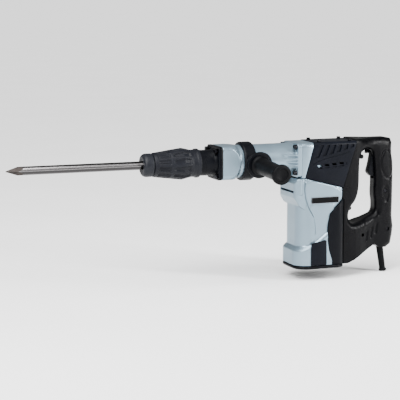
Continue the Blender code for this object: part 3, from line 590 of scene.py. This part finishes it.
def make_sleeve():
    """A tube lofted ring by ring: the outer wall with its flutes, and the plain bores inside."""
    start = SLEEVE_LOW.x
    length = SLEEVE_HIGH.x - start
    rings, steps = 140, 180
    bores = [(102.5, 17.5), (91.5, 17.5), (91.5, 20.5), (78.0, 20.5), (78.0, 24.4), (56.0, 24.4)]
    bores += [(15.5, 25.2), (15.5, 28.0), (0.0, 28.0)]
    shape = bmesh.new()
    loops = []
    for ring in range(rings + 1):
        distance = length * ring / rings
        loop = []
        for step in range(steps):
            angle = 2 * math.pi * step / steps
            radius = profile_radius(SLEEVE_PROFILE, distance) - sleeve_depth(distance, angle)
            spot = (start + distance, radius * math.cos(angle), AXIS_Z + radius * math.sin(angle))
            loop.append(shape.verts.new(Vector(spot) * MM))
        loops.append(loop)
    for distance, radius in bores:
        angles = [2 * math.pi * step / steps for step in range(steps)]
        spots = [(start + distance, radius * math.cos(a), AXIS_Z + radius * math.sin(a)) for a in angles]
        loops.append([shape.verts.new(Vector(spot) * MM) for spot in spots])
    for first, second in zip(loops, loops[1:] + loops[:1]):
        for step in range(steps):
            after = (step + 1) % steps
            shape.faces.new((first[step], first[after], second[after], second[step]))
    bmesh.ops.recalc_face_normals(shape, faces=shape.faces)
    mesh = bpy.data.meshes.new("sleeve")
    shape.to_mesh(mesh)
    shape.free()
    sleeve = settle(place(mesh, "sleeve"), 60.0)
    stand_for(sleeve, "grip_sleeve", SLEEVE_RUBBER)


# Barrel


def bolt_places(half):
    return [(y, AXIS_Z + z) for y in (-half, half) for z in (-half, half)]


def make_front_cover():
    back, front = COVER_LOW.x, COVER_HIGH.x
    half = (COVER_HIGH.y - COVER_LOW.y) / 2
    face = FLANGE_FACE
    outline = rounded(-half, half, AXIS_Z - half, AXIS_Z + half, (7.0,) * 4)
    cover = round_edges(slab("cover_flange", [outline], back, face, "X"), 1.2, 2, 40.0)
    groove = rounded(-half - 5, half + 5, AXIS_Z - half - 5, AXIS_Z + half + 5, (7.0,) * 4)
    inner = rounded(-half + 1.2, half - 1.2, AXIS_Z - half + 1.2, AXIS_Z + half - 1.2, (6.0,) * 4)
    cut(cover, slab("flange_line", [groove, inner], back + 3.2, back + 4.2, "X"))
    tube = [
        (face - 3.0, 0.0),
        (face - 3.0, 30.5),
        (face + 2.0, 30.0),
        (face + 5.0, 28.4),
        (face + 7.0, 27.7),
        (front - 12.0, 27.7),
        (front - 11.5, 27.2),
        (front - 10.5, 27.2),
        (front - 10.0, 27.7),
        (front - 1.0, 27.7),
        (front, 26.7),
        (front, 0.0),
    ]
    add(cover, on_axis("cover_tube", tube))
    for number, (y, z) in enumerate(bolt_places(27.0)):
        seat = rod(face - 0.6, face + 9, 6.6)
        cut(cover, turned(f"seat_{number}", seat, (0, y, z), (1, 0, 0), steps=32))
        hole = rod(back - 5, face + 5, 3.3)
        cut(cover, turned(f"cover_hole_{number}", hole, (0, y, z), (1, 0, 0), steps=24))
    bore = [(back - 5, 0.0), (back - 5, 17.6), (245.8, 17.6), (245.8, 20.3), (front + 5, 20.3)]
    bore.append((front + 5, 0.0))
    cut(cover, on_axis("cover_bore", bore))
    settle(cover)
    stand_for(cover, "front_cover", BLACK)


def make_cylinder_case():
    back, front = CASE_LOW.x, CASE_HIGH.x
    flange_front = back + 9.5
    barrel = [(back + 1, 0.0), (back + 1, BARREL_R), (flange_front, 36.4), (flange_front + 38.0, BARREL_R)]
    barrel += [(front - 2, BARREL_R), (front - 2, 0.0)]
    case = on_axis("case_barrel", barrel)
    half = 36.0
    outline = rounded(-half, half, AXIS_Z - half, AXIS_Z + half, (9.0,) * 4)
    head = slab("case_head", [outline], 186.0, front, "X")
    limit = [(180.0, 0.0), (180.0, BARREL_R - 1), (188.0, BARREL_R), (192.0, 38.2), (197.0, 42.2)]
    limit += [(204.0, 45.6), (213.0, 48.0), (240.0, 50.0), (240.0, 0.0)]
    keep(head, on_axis("head_limit", limit))
    side = (CASE_HIGH.y - CASE_LOW.y) / 2
    rear_outline = rounded(-side, side, CASE_LOW.z, CASE_HIGH.z, (6.0, 6.0, 9.0, 9.0))
    rear = slab("case_flange", [rear_outline], back, flange_front, "X")
    for tool in (head, rear):
        add(case, tool)
    for way in (-1, 1):
        for number in range(4):
            z = AXIS_Z - 11.0 + 7.5 * number
            plan = [(2.0, 28.0), (2.0, 39.6), (20.0, 39.6), (30.0, 37.4), (44.0, 33.0), (44.0, 28.0)]
            fin_outline = [(back + x, way * y) for x, y in plan]
            add(case, slab(f"case_fin_{way}_{number}", [fin_outline], z - 1.4, z + 1.4, "Z"))
    soften(case, 0.9, 3)
    bore = rod(0.0, front + 10.0, 24.0)
    cut(case, on_axis("case_bore", bore))
    settle(case, 60.0)
    stand_for(case, "cylinder_case", SILVER)


def socket_screw(node, seat, toward, head_r, head_height, recess_r):
    """The CAD screw's head with chamfered edges, a short shank and a six-sided socket."""
    rim = 0.5
    profile = [(-6.0, 0.0), (-6.0, head_r * 0.55), (0.0, head_r * 0.6), (0.0, head_r - 0.2), (0.4, head_r)]
    profile += [(head_height - rim, head_r), (head_height, head_r - rim), (head_height, 0.0)]
    screw = turned(f"{node}_turning", profile, seat, toward, steps=48)
    recess = rod(head_height - 3.4, head_height + 1, recess_r)
    cut(screw, turned(f"{node}_socket", recess, seat, toward, steps=6))
    settle(screw, 30.0)
    stand_for(screw, node, SCREW_STEEL)


def make_screws():
    for number, (y, z) in enumerate(bolt_places(27.0), 1):
        socket_screw(f"front_bolt_{number}", (FLANGE_FACE + GAP, y, z), (1, 0, 0), 5.0, 7.5, 2.9)
    case_places = [(y, z) for y in (-34.0, 34.0) for z in (213.0, 269.5)]
    for number, (y, z) in enumerate(case_places, 1):
        socket_screw(f"case_bolt_{number}", (CASE_LOW.x + 9.5 + GAP, y, z), (1, 0, 0), 5.0, 8.0, 2.9)
    for number in range(1, 5):
        low, high = span(f"cover_screw_{number}")
        middle = (low + high) / 2
        socket_screw(f"cover_screw_{number}", (middle.x, middle.y, high.z - 3.6), (0, 0, 1), 4.2, 3.6, 2.2)


# Casings


def make_crank_case():
    front, back = CRANK_HIGH.x, CRANK_LOW.x
    side = CRANK_HIGH.y
    floor, top = CRANK_LOW.z, CRANK_HIGH.z
    case = slab("crank_outer", [rounded(-side, side, floor, top, (2.0, 2.0, 10.0, 10.0))], 0.0, front, "X")
    cut(case, slab("crank_slant", [[(-20, 190), (42.9, 190), (17.4, 280), (-20, 280)]], -50, 50, "Y"))
    inner = rounded(-side + 4, side - 4, floor, top - 4, (2.0, 2.0, 8.0, 8.0))
    add(case, slab("crank_body", [inner], back, front - 6.0, "X"))
    round_edges(case, 1.0, 2, 30.0)
    well = rod(215.9, 262.0, 22.3)
    seat = rod(190.0, 216.3, 18.3)
    bore = rod(28.0, front + 5.0, 20.2)
    cut(case, turned("well", well, (28, 0, 0)))
    cut(case, turned("well_seat", seat, (28, 0, 0)))
    cut(case, on_axis("rod_bore", bore))
    settle(case)
    stand_for(case, "crank_case", SILVER)


COVER_FLUTES = [(12.0, 243.0), (-5.0, 247.0), (-22.0, 250.5), (-39.0, 254.5), (-56.0, 259.0), (-71.5, 263.0)]
COVER_SWEEP = [(22.0, 231.0), (8.0, 237.5), (-10.0, 242.8), (-30.0, 247.0), (-50.0, 251.5), (-66.0, 256.0)]


def make_crank_cover():
    side, top = SHELL_HIGH.y, SHELL_HIGH.z
    cover = slab("cover_outer", [rounded(-side, side, 150.0, top, (1.0, 1.0, 9.0, 9.0))], -95.0, 45.0, "X")
    below = [(60, 140), (60, 205.5), (40, 200.3), (-48, 177.6), (-110, 161.6), (-110, 140)]
    ahead = [(60, 190), (42.6, 190), (17.1, 280), (17, 300), (60, 300)]
    behind = [(-120, 140), (-44.2, 150), (-88, 285), (-120, 285)]
    for name, outline in (("below", below), ("ahead", ahead), ("behind", behind)):
        cut(cover, slab(f"cover_{name}", [outline], -60, 60, "Y"))
    round_edges(cover, 1.2, 2, 30.0)
    room_outline = rounded(-side + 4, side - 4, 120.0, 273.7, (1.0, 1.0, 7.0, 7.0))
    room = slab("cover_room", [room_outline], -90.0, 50.0, "X")
    cut(room, slab("cover_back_wall", [[(-120, 130), (-38.6, 140), (-84, 285), (-120, 285)]], -60, 60, "Y"))
    cut(cover, room)
    for way in (-1, 1):
        low, high = sorted((way * (side - 2.6), way * (side + 5)))
        for number, (x_low, z_low) in enumerate(COVER_FLUTES):
            x_top = -0.5 - 14.6 * number
            flute = [(x_low + 3.6, z_low), (x_top + 3.4, 271.5), (x_top - 4.6, 271.5)]
            flute.append((x_low - 5.6, z_low + 2.0))
            cut(cover, slab(f"flute_{way}_{number}", [flute], low, high, "Y"))
        ridge = [(x, z) for x, z in COVER_SWEEP] + [(x + 1.0, z - 2.2) for x, z in reversed(COVER_SWEEP)]
        low, high = sorted((way * (side - 1.0), way * (side + 5)))
        cut(cover, slab(f"sweep_{way}", [ridge], low, high, "Y"))
        bed = [(12.0, 218.5), (10.0, 230.5), (-60.0, 235.5), (-61.5, 222.5)]
        cut(cover, slab(f"vent_bed_{way}", [smooth_loop(bed, 1)], low, high, "Y"))
    for number in range(4):
        x = 4.5 - 17.5 * number
        z = 225.8 + 1.4 * number
        slot = [(x - 6.0, z - 2.2), (x + 4.5, z - 2.0), (x + 6.0, z + 2.4), (x - 4.5, z + 2.6)]
        cut(cover, slab(f"vent_{number}", [slot], -50, 50, "Y"))
        for way in (-1, 1):
            low, high = sorted((way * (side - 2.6), way * (side + 5)))
            lower = [(x - 6.0, z - 6.4), (x + 3.5, z - 6.2), (x + 4.5, z - 3.6), (x - 5.2, z - 3.8)]
            cut(cover, slab(f"blind_vent_{way}_{number}", [lower], low, high, "Y"))
    settle(cover)
    stand_for(cover, "crank_cover", COVER_BLACK)


SIDE_PANEL = [
    (40.0, 199.0),
    (-47.5, 177.0),
    (-47.5, 150.0),
    (-17.0, 121.0),
    (4.0, 116.5),
    (21.0, 116.5),
    (31.0, 134.0),
    (38.5, 154.0),
    (42.0, 176.0),
]
REAR_EDGE = [(-48.3, 150.3), (-17.3, 121.3), (-12.3, 96.0), (-10.3, 63.0), (-14.0, 40.0), (-21.3, 18.0)]


def make_motor_housing():
    floor = HOUSING_LOW.z
    body_plan = rounded(-30.0, 54.0, -47.0, 47.0, (5.0, 30.0, 30.0, 5.0), 12)
    body = slab("housing_body", [body_plan], floor, 142.0, "Z")
    bell_side = HOUSING_HIGH.y
    for inset, rise in ((0.0, 0.0), (1.4, 2.4), (3.0, 4.6), (5.0, 6.6)):
        half = bell_side - inset
        plan = rounded(-30.0, 61.5 - inset, -half, half, (5.0, 31.0, 31.0, 5.0), 12)
        edge = [(80, 40 + rise), (50, 42 + rise), (24, 49 + rise), (-9, 74 + rise), (-40, 88 + rise)]
        bell = slab(f"housing_bell_{inset:.0f}", [plan], floor, 97.0, "Z")
        keep(bell, slab(f"bell_edge_{inset:.0f}", [[(80, 0)] + edge + [(-40, 0)]], -60, 60, "Y"))
        add(body, bell)
    front, top = HOUSING_HIGH.x, HOUSING_HIGH.z
    outline = [(front, 190.0), (58.0, top), (40.0, top), (-48.0, 177.0), (-48.0, 150.0), (-17.0, 121.0)]
    outline += [(8.0, 119.0), (24.0, 122.0), (54.0, 140.0), (front, 158.0)]
    upper = slab("housing_upper", [outline], -43.0, 43.0, "Y")
    plan = rounded(-60.0, front, -46.0, 46.0, (2.0, 12.0, 12.0, 2.0))
    keep(upper, slab("upper_plan", [plan], 100.0, 210.0, "Z"))
    add(body, upper)
    for way in (-1, 1):
        low, high = sorted((way * 38.0, way * 46.0))
        panel = slab(f"side_panel_{way}", [smooth_loop(SIDE_PANEL, 1)], low, high, "Y")
        round_edges(panel, 1.6, 2, 50.0)
        boss = [(163.0, 0.0), (163.0, 5.0), (166.0, 7.6), (top - 1.5, 7.6), (top, 6.4), (top, 0.0)]
        add(body, panel, turned(f"screw_boss_{way}", boss, (51.5, way * 38.2, 0), steps=48))
    soften(body, 1.1, 3)
    border = SIDE_PANEL[5:] + SIDE_PANEL[:1]
    groove = border + [(x + 1.5, z - 0.6) for x, z in reversed(border)]
    seam_line = [(21.8, 117.0), (18.2, 104.0), (16.4, 90.0), (16.0, 76.0)]
    seam = seam_line + [(x + 1.4, z) for x, z in reversed(seam_line)]
    for way in (-1, 1):
        low, high = sorted((way * 41.9, way * 48.0))
        cut(body, slab(f"panel_border_{way}", [groove], low, high, "Y"))
        low, high = sorted((way * 46.1, way * 48.0))
        cut(body, slab(f"side_seam_{way}", [seam], low, high, "Y"))
    behind = REAR_EDGE + [(-21.3, 0.0), (-90.0, 0.0), (-90.0, 151.0)]
    cut(body, slab("behind_housing", [behind], -70, 70, "Y"))
    tube = [(floor, 0.0), (floor, 45.6), (112.0, 45.6), (118.0, 44.4), (160.0, 44.4), (160.0, 0.0)]
    add(body, turned("motor_tube", tube))
    shaft_way = [(150.0, 0.0), (150.0, 8.0), (163.0, 8.0), (163.0, 13.3), (174.0, 13.3)]
    shaft_way += [(174.0, 8.0), (230.0, 8.0), (230.0, 0.0)]
    gear_room = [(173.9, 0.0), (173.9, 16.3), (184.2, 16.3), (184.2, 26.6), (230.0, 26.6), (230.0, 0.0)]
    cut(
        body,
        turned("motor_bore", rod(0.0, 158.0, 43.0)),
        turned("shaft_way", shaft_way),
        turned("gear_room", gear_room, (28, 0, 0)),
        turned("crank_end_room", rod(168.0, 176.0, 7.8), (28, 0, 0)),
        slab("front_slot", [[(46, 168.4), (80, 168.4), (80, 173.6), (46, 173.6)]], -36, 36, "Y"),
    )
    settle(body, 50.0)
    stand_for(body, "motor_housing", SILVER)


def make_rear_cover():
    edge = [(x - 0.3, z) for x, z in REAR_EDGE]
    back = REAR_LOW.x
    outline = edge + [(-21.6, REAR_LOW.z), (back, REAR_LOW.z), (back, 150.0)]
    cover = slab("rear_outer", [outline], -60.0, 60.0, "Y")
    side = REAR_HIGH.y
    plan = rounded(back, 20.0, -side, side, (18.0, 2.0, 2.0, 18.0))
    keep(cover, slab("rear_plan", [plan], 0.0, 160.0, "Z"))
    round_edges(cover, 1.6, 3, 40.0)
    cut(cover, turned("tube_room", rod(0.0, 170.0, 46.0)))
    settle(cover)
    stand_for(cover, "rear_cover", BLACK)


def make_tail_cover():
    back, front = TAIL_LOW.x, TAIL_HIGH.x
    side = TAIL_HIGH.y
    outline = rounded(back, front, -side, side, (18.0, 31.0, 31.0, 18.0), 12)
    cover = round_edges(slab("tail_outer", [outline], TAIL_LOW.z, TAIL_LOW.z + 8.0, "Z"), 3.6, 4, 60.0)
    collar = [(6.0, 13.3), (6.0, 17.0), (TAIL_HIGH.z, 17.0), (TAIL_HIGH.z, 13.3)]
    add(cover, turned("tail_collar", collar, ring=True))
    for x in (-28.0, -24.0, 28.0, 36.0, 44.0):
        cut(cover, pill(f"tail_vent_{x:.0f}", (x + 1.2, -22.0), (x + 1.2, 22.0), 1.2, "Z", -5.0, 20.0))
    settle(cover)
    stand_for(cover, "tail_cover", BLACK)


def make_side_panels():
    outline = [(29.5, 9), (29.5, 56.5), (28.2, 58.6), (-3.5, 64.6), (-6.4, 63.4), (-7.2, 61.5)]
    outline += [(-8, 10.5), (-6.8, 9)]
    for way, node in ((1, "brush_cover_left"), (-1, "brush_cover_right")):
        low, high = span(node)
        panel = round_edges(slab(f"{node}_pad", [outline], low.y, high.y, "Y"), 1.0, 3, 50.0)
        settle(panel)
        stand_for(panel, node, COVER_BLACK)
    low, high = span("name_plate")
    inset = 0.5
    face = rounded(low.x, high.x, low.z, high.z, (2.0,) * 4)
    inner = rounded(low.x + inset, high.x - inset, low.z + inset, high.z - inset, (1.4,) * 4)
    plate = settle(slab("plate_face", [face], low.y, high.y - 0.3, "Y"))
    stand_for(plate, "name_plate", PLATE)
    rim = settle(slab("plate_rim", [face, inner], high.y - 0.3, high.y, "Y"))
    rim.name = "name_plate_rim"
    detail(rim, BODY_OF["name_plate"], PLATE_RIM)


# Main handle


def handle_outer():
    return [
        (-86.9, 281.0),
        (-53.4, 177.2),
        (-53.4, 175.8),
        (-48.6, 175.8),
        (-48.6, 150.8),
        (-55.3, 150.8),
        (-55.3, 5.0),
        (-68.0, 5.0),
        (-84.0, 11.0),
        (-142.0, 41.5),
        (-147.0, 38.0),
        (-154.0, 33.0),
        (-178.0, 32.0),
        (-188.0, 38.0),
        (-192.5, 60.0),
        (-194.5, 78.0),
        (-191.0, 103.0),
        (-191.5, 134.0),
        (-191.5, 200.0),
        (-189.5, 227.0),
        (-186.5, 252.0),
        (-187.0, 268.0),
        (-183.0, 278.0),
        (-166.0, 281.4),
    ]


def handle_loop():
    return [
        (-99.5, 228.0),
        (-103.0, 246.0),
        (-114.0, 254.5),
        (-133.0, 255.0),
        (-139.0, 244.0),
        (-143.5, 185.0),
        (-141.5, 155.0),
        (-145.0, 136.0),
        (-144.5, 113.0),
        (-130.0, 106.0),
        (-94.0, 91.5),
        (-79.0, 93.5),
        (-72.5, 104.0),
        (-72.5, 118.0),
        (-79.0, 132.0),
        (-90.0, 142.0),
        (-100.0, 168.0),
    ]


def bisected(mesh, side):
    """The half of the mesh on one side of the middle plane, closed."""
    shape = bmesh.new()
    shape.from_mesh(mesh)
    everything = shape.verts[:] + shape.edges[:] + shape.faces[:]
    spot = (0.0, side * 0.15 * MM, 0.0)
    made = bmesh.ops.bisect_plane(
        shape, geom=everything, plane_co=spot, plane_no=(0, -side, 0), clear_outer=True
    )
    rim = [e for e in made["geom_cut"] if isinstance(e, bmesh.types.BMEdge)]
    bmesh.ops.triangle_fill(shape, edges=rim, use_beauty=True)
    bmesh.ops.recalc_face_normals(shape, faces=shape.faces)
    half = bpy.data.meshes.new("handle_half")
    shape.to_mesh(half)
    shape.free()
    return half


def flat_distance(points, line, closed):
    """Each point's distance to a flat line of points, which can be closed."""
    ends = line[1:] + line[:1] if closed else line[1:]
    starts = np.array(line[: len(ends)])
    ways = np.array(ends) - starts
    nearest = np.full(len(points), 1e9)
    for start, way in zip(starts, ways):
        share = np.clip(((points - start) @ way) / (way @ way), 0.0, 1.0)
        nearest = np.minimum(nearest, np.linalg.norm(points - start - share[:, None] * way, axis=1))
    return nearest


def shoulder(distance, reach, drop):
    """How far an edge's rounding lowers the surface, at a distance in from the edge."""
    inward = np.clip(distance / reach, 0.0, 1.0)
    return drop * (1.0 - np.sqrt(1.0 - (1.0 - inward) ** 2))


def bump(distance, reach):
    """1 on the line, easing to 0 at reach."""
    share = np.clip(1.0 - distance / reach, 0.0, 1.0)
    return share * share * (3.0 - 2.0 * share)


def oval(points, centre, half, tilt):
    """How deep a point lies in a tilted oval: 1 at its middle, 0 on its edge, negative outside."""
    turn = math.radians(tilt)
    away = points - np.array(centre)
    u = (away[:, 0] * math.cos(turn) + away[:, 1] * math.sin(turn)) / half[0]
    v = (away[:, 1] * math.cos(turn) - away[:, 0] * math.sin(turn)) / half[1]
    return 1.0 - np.sqrt(u * u + v * v)


SLANTED_GROOVES = [
    ((-121.0, 71.5), (-117.5, 53.0)),
    ((-134.0, 80.0), (-130.0, 58.5)),
    ((-146.5, 88.0), (-143.0, 68.5)),
]


def handle_half_width(points):
    """The handle's half width over its side view: the sculpted surface of one half."""
    x = points[:, 0]
    stations = [-200.0, -180.0, -160.0, -138.0, -118.0, -100.0, -88.0, -72.0, -56.0, -40.0]
    widths = [17.0, 19.6, 20.6, 21.4, 26.0, 33.0, 36.0, 37.2, 37.8, 38.0]
    width = np.interp(x, stations, widths)
    back = np.clip((-92.0 - x) / 40.0, 0.0, 1.0)
    free = handle_outer()[12:] + handle_outer()[:1]
    outer = flat_distance(points, free, False)
    inner = flat_distance(points, smooth_loop(handle_loop(), 2), True)
    fall = shoulder(outer, 8.0 + 11.0 * back, 7.0 + 8.0 * back)
    fall = np.maximum(fall, shoulder(inner, 13.0 + 4.0 * back, 17.0 - 3.0 * back))
    width = width - fall
    pad = oval(points, (-172.5, 222.0), (17.5, 33.0), -8.0)
    width += 1.6 * np.clip(pad / 0.14, 0.0, 1.0)
    width -= 1.6 * bump(np.abs(pad) * 20.0, 2.6)
    badge = oval(points, (-168.5, 154.0), (9.0, 19.5), -4.0)
    width -= 1.6 * np.clip(badge / 0.12, 0.0, 1.0)
    for start, end in SLANTED_GROOVES:
        width -= 1.8 * bump(np.maximum(flat_distance(points, [start, end], False) - 1.2, 0.0), 3.2)
    knee = flat_distance(points, [(-108.0, 100.0), (-112.0, 84.0), (-132.0, 95.0), (-146.0, 104.0)], False)
    width += 1.6 * bump(knee, 9.0)
    return np.maximum(width, 1.0)


def sculpt_handle(obj):
    """Pushes a flat slab's two faces in to the sculpted half width."""
    graph = bpy.context.evaluated_depsgraph_get()
    mesh = bpy.data.meshes.new_from_object(obj.evaluated_get(graph), depsgraph=graph)
    count = len(mesh.vertices)
    spots = np.empty(count * 3, np.float32)
    mesh.vertices.foreach_get("co", spots)
    spots = spots.reshape(-1, 3)
    limit = handle_half_width(spots[:, [0, 2]].astype(float) / MM) * MM
    spots[:, 1] = np.clip(spots[:, 1], -limit, limit)
    mesh.vertices.foreach_set("co", spots.reshape(-1))
    obj.modifiers.clear()
    obj.data = mesh
    return obj


def make_handle():
    loop = smooth_loop(handle_loop(), 2)
    body = slab("handle_body", [handle_outer(), loop], -38.0, 38.0, "Y")
    soften(body, 1.5, 2)
    sculpt_handle(body)
    soften(body, 1.2, 3)
    for way in (-1, 1):
        side = (0, way, 0)
        dark_hole = rod(0.0, 25.0, 4.0)
        upper_dish = [(0.0, 0.0), (0.0, 4.6), (8.0, 5.2), (8.0, 0.0)]
        lower_dish = [(0.0, 0.0), (0.0, 4.0), (8.0, 4.4), (8.0, 0.0)]
        cut(
            body,
            turned(f"hole_{way}", dark_hole, (-107.4, way * 20.0, 65.4), side, steps=32),
            turned(f"dish_{way}", upper_dish, (-167.5, way * 15.0, 160.9), side, steps=32),
            turned(f"dish_low_{way}", lower_dish, (-175.0, way * 14.0, 74.0), side, steps=32),
        )
    cut(body, block("switch_room", (-176.0, -15.5, 196.0), (-150.0, 15.5, 252.0)))
    cut(body, block("trigger_room", (-158.0, -8.6, 188.0), (-128.0, 8.6, 258.0)))
    way = GUARD_END - GUARD_TOP
    cord_room = rod(-2.0, 60.0, 8.4)
    cut(body, turned("cord_room", cord_room, GUARD_TOP, way, steps=32))
    cut(body, turned("wire_room", rod(50.0, 200.0, 7.0), (-166.0, 0, 0), steps=24))
    low, high = span("lock_button")
    knob_x = (low.x + high.x) / 2
    knob_room = [(240.0, 0.0), (240.0, 5.0), (257.5, 5.0), (257.5, 2.8), (270.0, 2.8), (270.0, 0.0)]
    cut(body, turned("knob_room", knob_room, (knob_x, 0, 0), steps=24))
    settle(body, 60.0)
    for side, node in ((1, "handle_left"), (-1, "handle_right")):
        half = place(bisected(body.data, side), f"{node}_half")
        half.data.polygons.foreach_set("use_smooth", [True] * len(half.data.polygons))
        half.data.set_sharp_from_angle(angle=math.radians(48))
        stand_for(half, node, HANDLE_BLACK)
    bpy.data.objects.remove(body)
    spots = (("upper", -167.5, 160.9, 15.2, 4.1), ("lower", -175.0, 74.0, 14.2, 3.6))
    for place_name, x, z, depth, radius in spots:
        for way, hand in ((1, "left"), (-1, "right")):
            profile = [(0.0, 0.0), (0.0, radius), (1.4, radius), (2.0, radius - 0.6), (2.0, 1.8), (0.7, 0.0)]
            seat = (x, way * depth, z)
            screw = settle(turned(f"handle_screw_{place_name}_{hand}", profile, seat, (0, way, 0), steps=32))
            detail(screw, "housing", SCREW_STEEL)
    for number, (x, z, radius) in enumerate(((-104.6, 240.5, 5.2), (-76.4, 127.0, 5.2))):
        profile = rod(-24.0, 24.0, radius)
        boss = turned(f"loop_boss_{number}", profile, (x, 0.0, z), (0, 1, 0), steps=32)
        round_edges(boss, 1.2, 2, 50.0)
        detail(settle(boss), "housing", HANDLE_BLACK)


GUARD_TOP = Vector((-160.5, 0.0, 58.0))
GUARD_END = Vector((-174.0, 0.0, -24.0))


def make_trigger():
    px, pz = TRIGGER_PIVOT.x, TRIGGER_PIVOT.z
    outline = [
        (px + 3.0, pz + 4.0),
        (px - 4.0, pz + 4.0),
        (-155.0, 244.0),
        (-152.0, 205.0),
        (-146.0, 194.0),
        (-139.0, 191.5),
        (-128.5, 202.0),
        (-129.0, 206.5),
        (-133.5, 222.0),
        (-136.5, 240.0),
        (-139.0, 249.0),
    ]
    trigger = slab("trigger_blade", [smooth_loop(outline, 1)], -8.2, 8.2, "Y")
    round_edges(trigger, 1.8, 3, 40.0)
    settle(trigger, 50.0)
    stand_for(trigger, "trigger", BLACK)
    low, high = span("lock_button")
    x = (low.x + high.x) / 2
    knob = [(245.0, 0.0), (245.0, 3.2), (245.6, 4.0), (246.6, 4.3), (251.0, 4.3), (252.2, 3.4)]
    knob += [(252.5, 2.3), (264.0, 2.3), (264.0, 0.0)]
    button = settle(turned("lock_knob", knob, (x, 0, 0), steps=48), 50.0)
    stand_for(button, "lock_button", RUBBER)


def make_cord_guard():
    way = GUARD_END - GUARD_TOP
    length = way.length
    profile = [(0.0, 4.8), (0.0, 8.0), (24.0, 8.0), (length - 5.0, 6.8)]
    profile += [(length - 4.2, 8.0), (length - 3.0, 8.4), (length - 0.8, 8.4), (length, 7.8), (length, 4.8)]
    guard = turned("guard_tube", profile, GUARD_TOP, way, ring=True, steps=64)
    settle(guard, 50.0)
    stand_for(guard, "cord_guard", RUBBER)


# Side handle


def make_side_handle():
    back, front = BAND_BACK, BAND_FRONT
    profile = [(back, 20.0), (back, BAND_R - 2.0), (back + 3.0, BAND_R)]
    profile += [(front - 3.0, BAND_R), (front, BAND_R - 2.0), (front, 20.0)]
    band = on_axis("band_ring", profile, ring=True)
    boss = [(-30.0, 0.0), (-30.0, 17.0), (-16.0, 20.0), (-8.0, 24.0), (-4.0, 28.5), (2.0, 29.0), (2.0, 0.0)]
    add(band, turned("band_boss", boss, DISC, GRIP_WAY))
    web_outline = [(back + 1, 205.0), (front - 2, 205.0), (front - 6, 262.0), (back + 1, 262.0)]
    web = slab("band_web", [web_outline], 10.0, 41.0, "Y")
    keep(web, on_axis("web_limit", rod(100.0, 260.0, BAND_R + 0.6)))
    add(band, web)
    soften(band, 1.0, 8)
    cut(band, on_axis("band_room", rod(90.0, 260.0, BARREL_R + 0.35)))
    cut(band, turned("stud_room", rod(-60.0, 20.0, 5.4), DISC, GRIP_WAY, steps=32))
    settle(band, 55.0)
    stand_for(band, "side_handle_band", BLACK)
    length = GRIP_LENGTH
    grip = [
        (-8.0, 0.0),
        (-8.0, 5.0),
        (2.4, 5.0),
        (2.4, 20.5),
        (3.2, 21.3),
        (6.0, 21.3),
        (7.5, 20.0),
        (10.0, 18.0),
        (13.0, 17.4),
        (length * 0.5, 17.8),
        (length - 18.0, 17.0),
        (length - 13.0, 18.2),
        (length - 10.0, 20.6),
        (length - 8.0, 21.5),
        (length - 3.5, 21.5),
        (length - 1.2, 20.8),
        (length, 19.0),
        (length, 14.0),
        (length - 2.0, 13.0),
        (length - 2.6, 9.0),
        (length - 3.4, 7.5),
        (length - 3.4, 0.0),
    ]
    handle = settle(turned("grip_turning", grip, DISC, GRIP_WAY), 50.0)
    stand_for(handle, "side_handle_grip", RUBBER)


# Studio


def add_light(name, spot, aim, size, power):
    data = bpy.data.lights.new(name, "AREA")
    data.shape = "RECTANGLE"
    data.size, data.size_y = size
    data.energy = power
    light = bpy.data.objects.new(name, data)
    light.location = spot
    light.rotation_euler = (Vector(aim) - Vector(spot)).to_track_quat("-Z", "Y").to_euler()
    bpy.context.scene.collection.objects.link(light)


def make_studio():
    floor_z = GUARD_LOW.z * MM - 0.0005
    mesh = bpy.data.meshes.new("floor")
    shape = bmesh.new()
    bmesh.ops.create_grid(shape, x_segments=1, y_segments=1, size=400.0)
    shape.to_mesh(mesh)
    shape.free()
    floor = place(mesh, "floor")
    floor.location.z = floor_z
    pale = Finish("pale_floor", specular=0.1)
    pale.colour(pale.noise(3.0), (0.86, 0.86, 0.86), (0.88, 0.88, 0.88))
    pale.gloss(pale.noise(5.0), 0.85, 0.95)
    floor.data.materials.append(pale.material)
    world = bpy.data.worlds.new("studio")
    bpy.context.scene.world = world
    world.use_nodes = True
    background = world.node_tree.nodes["Background"]
    background.inputs["Color"].default_value = (1.0, 1.0, 1.0, 1.0)
    background.inputs["Strength"].default_value = 0.32
    sun = bpy.data.lights.new("sky_panel", "SUN")
    sun.energy = 5.6
    sun.angle = math.radians(50.0)
    lamp = bpy.data.objects.new("sky_panel", sun)
    lamp.rotation_euler = Vector((0.3, 0.32, 1.0)).to_track_quat("Z", "Y").to_euler()
    bpy.context.scene.collection.objects.link(lamp)
    add_light("key", (1.6, 1.2, 1.5), (0.1, 0.0, 0.2), (0.8, 1.8), 100.0)
    add_light("strip", (-1.3, 1.2, 0.9), (-0.1, 0.0, 0.15), (0.2, 1.4), 70.0)


def make_camera():
    """Looks from the front left, a little from above."""
    azimuth, elevation, distance = math.radians(159.5), math.radians(8.5), 3.0
    aim = Vector((0.2884, 0.0532, 0.1682))
    level = math.cos(elevation)
    back = Vector((math.sin(azimuth) * level, -math.cos(azimuth) * level, math.sin(elevation)))
    data = bpy.data.cameras.new("camera")
    data.sensor_width = 36.0
    data.lens = 128.25
    camera = bpy.data.objects.new("camera", data)
    camera.location = aim + back * distance
    camera.rotation_euler = back.to_track_quat("Z", "Y").to_euler()
    bpy.context.scene.collection.objects.link(camera)
    bpy.context.scene.camera = camera


def main():
    dress_cad_nodes()
    make_bit()
    make_front_cap()
    make_sleeve()
    make_front_cover()
    make_cylinder_case()
    make_screws()
    make_crank_case()
    make_crank_cover()
    make_motor_housing()
    make_rear_cover()
    make_tail_cover()
    make_side_panels()
    make_handle()
    make_trigger()
    make_cord_guard()
    make_side_handle()
    make_studio()
    make_camera()


main()
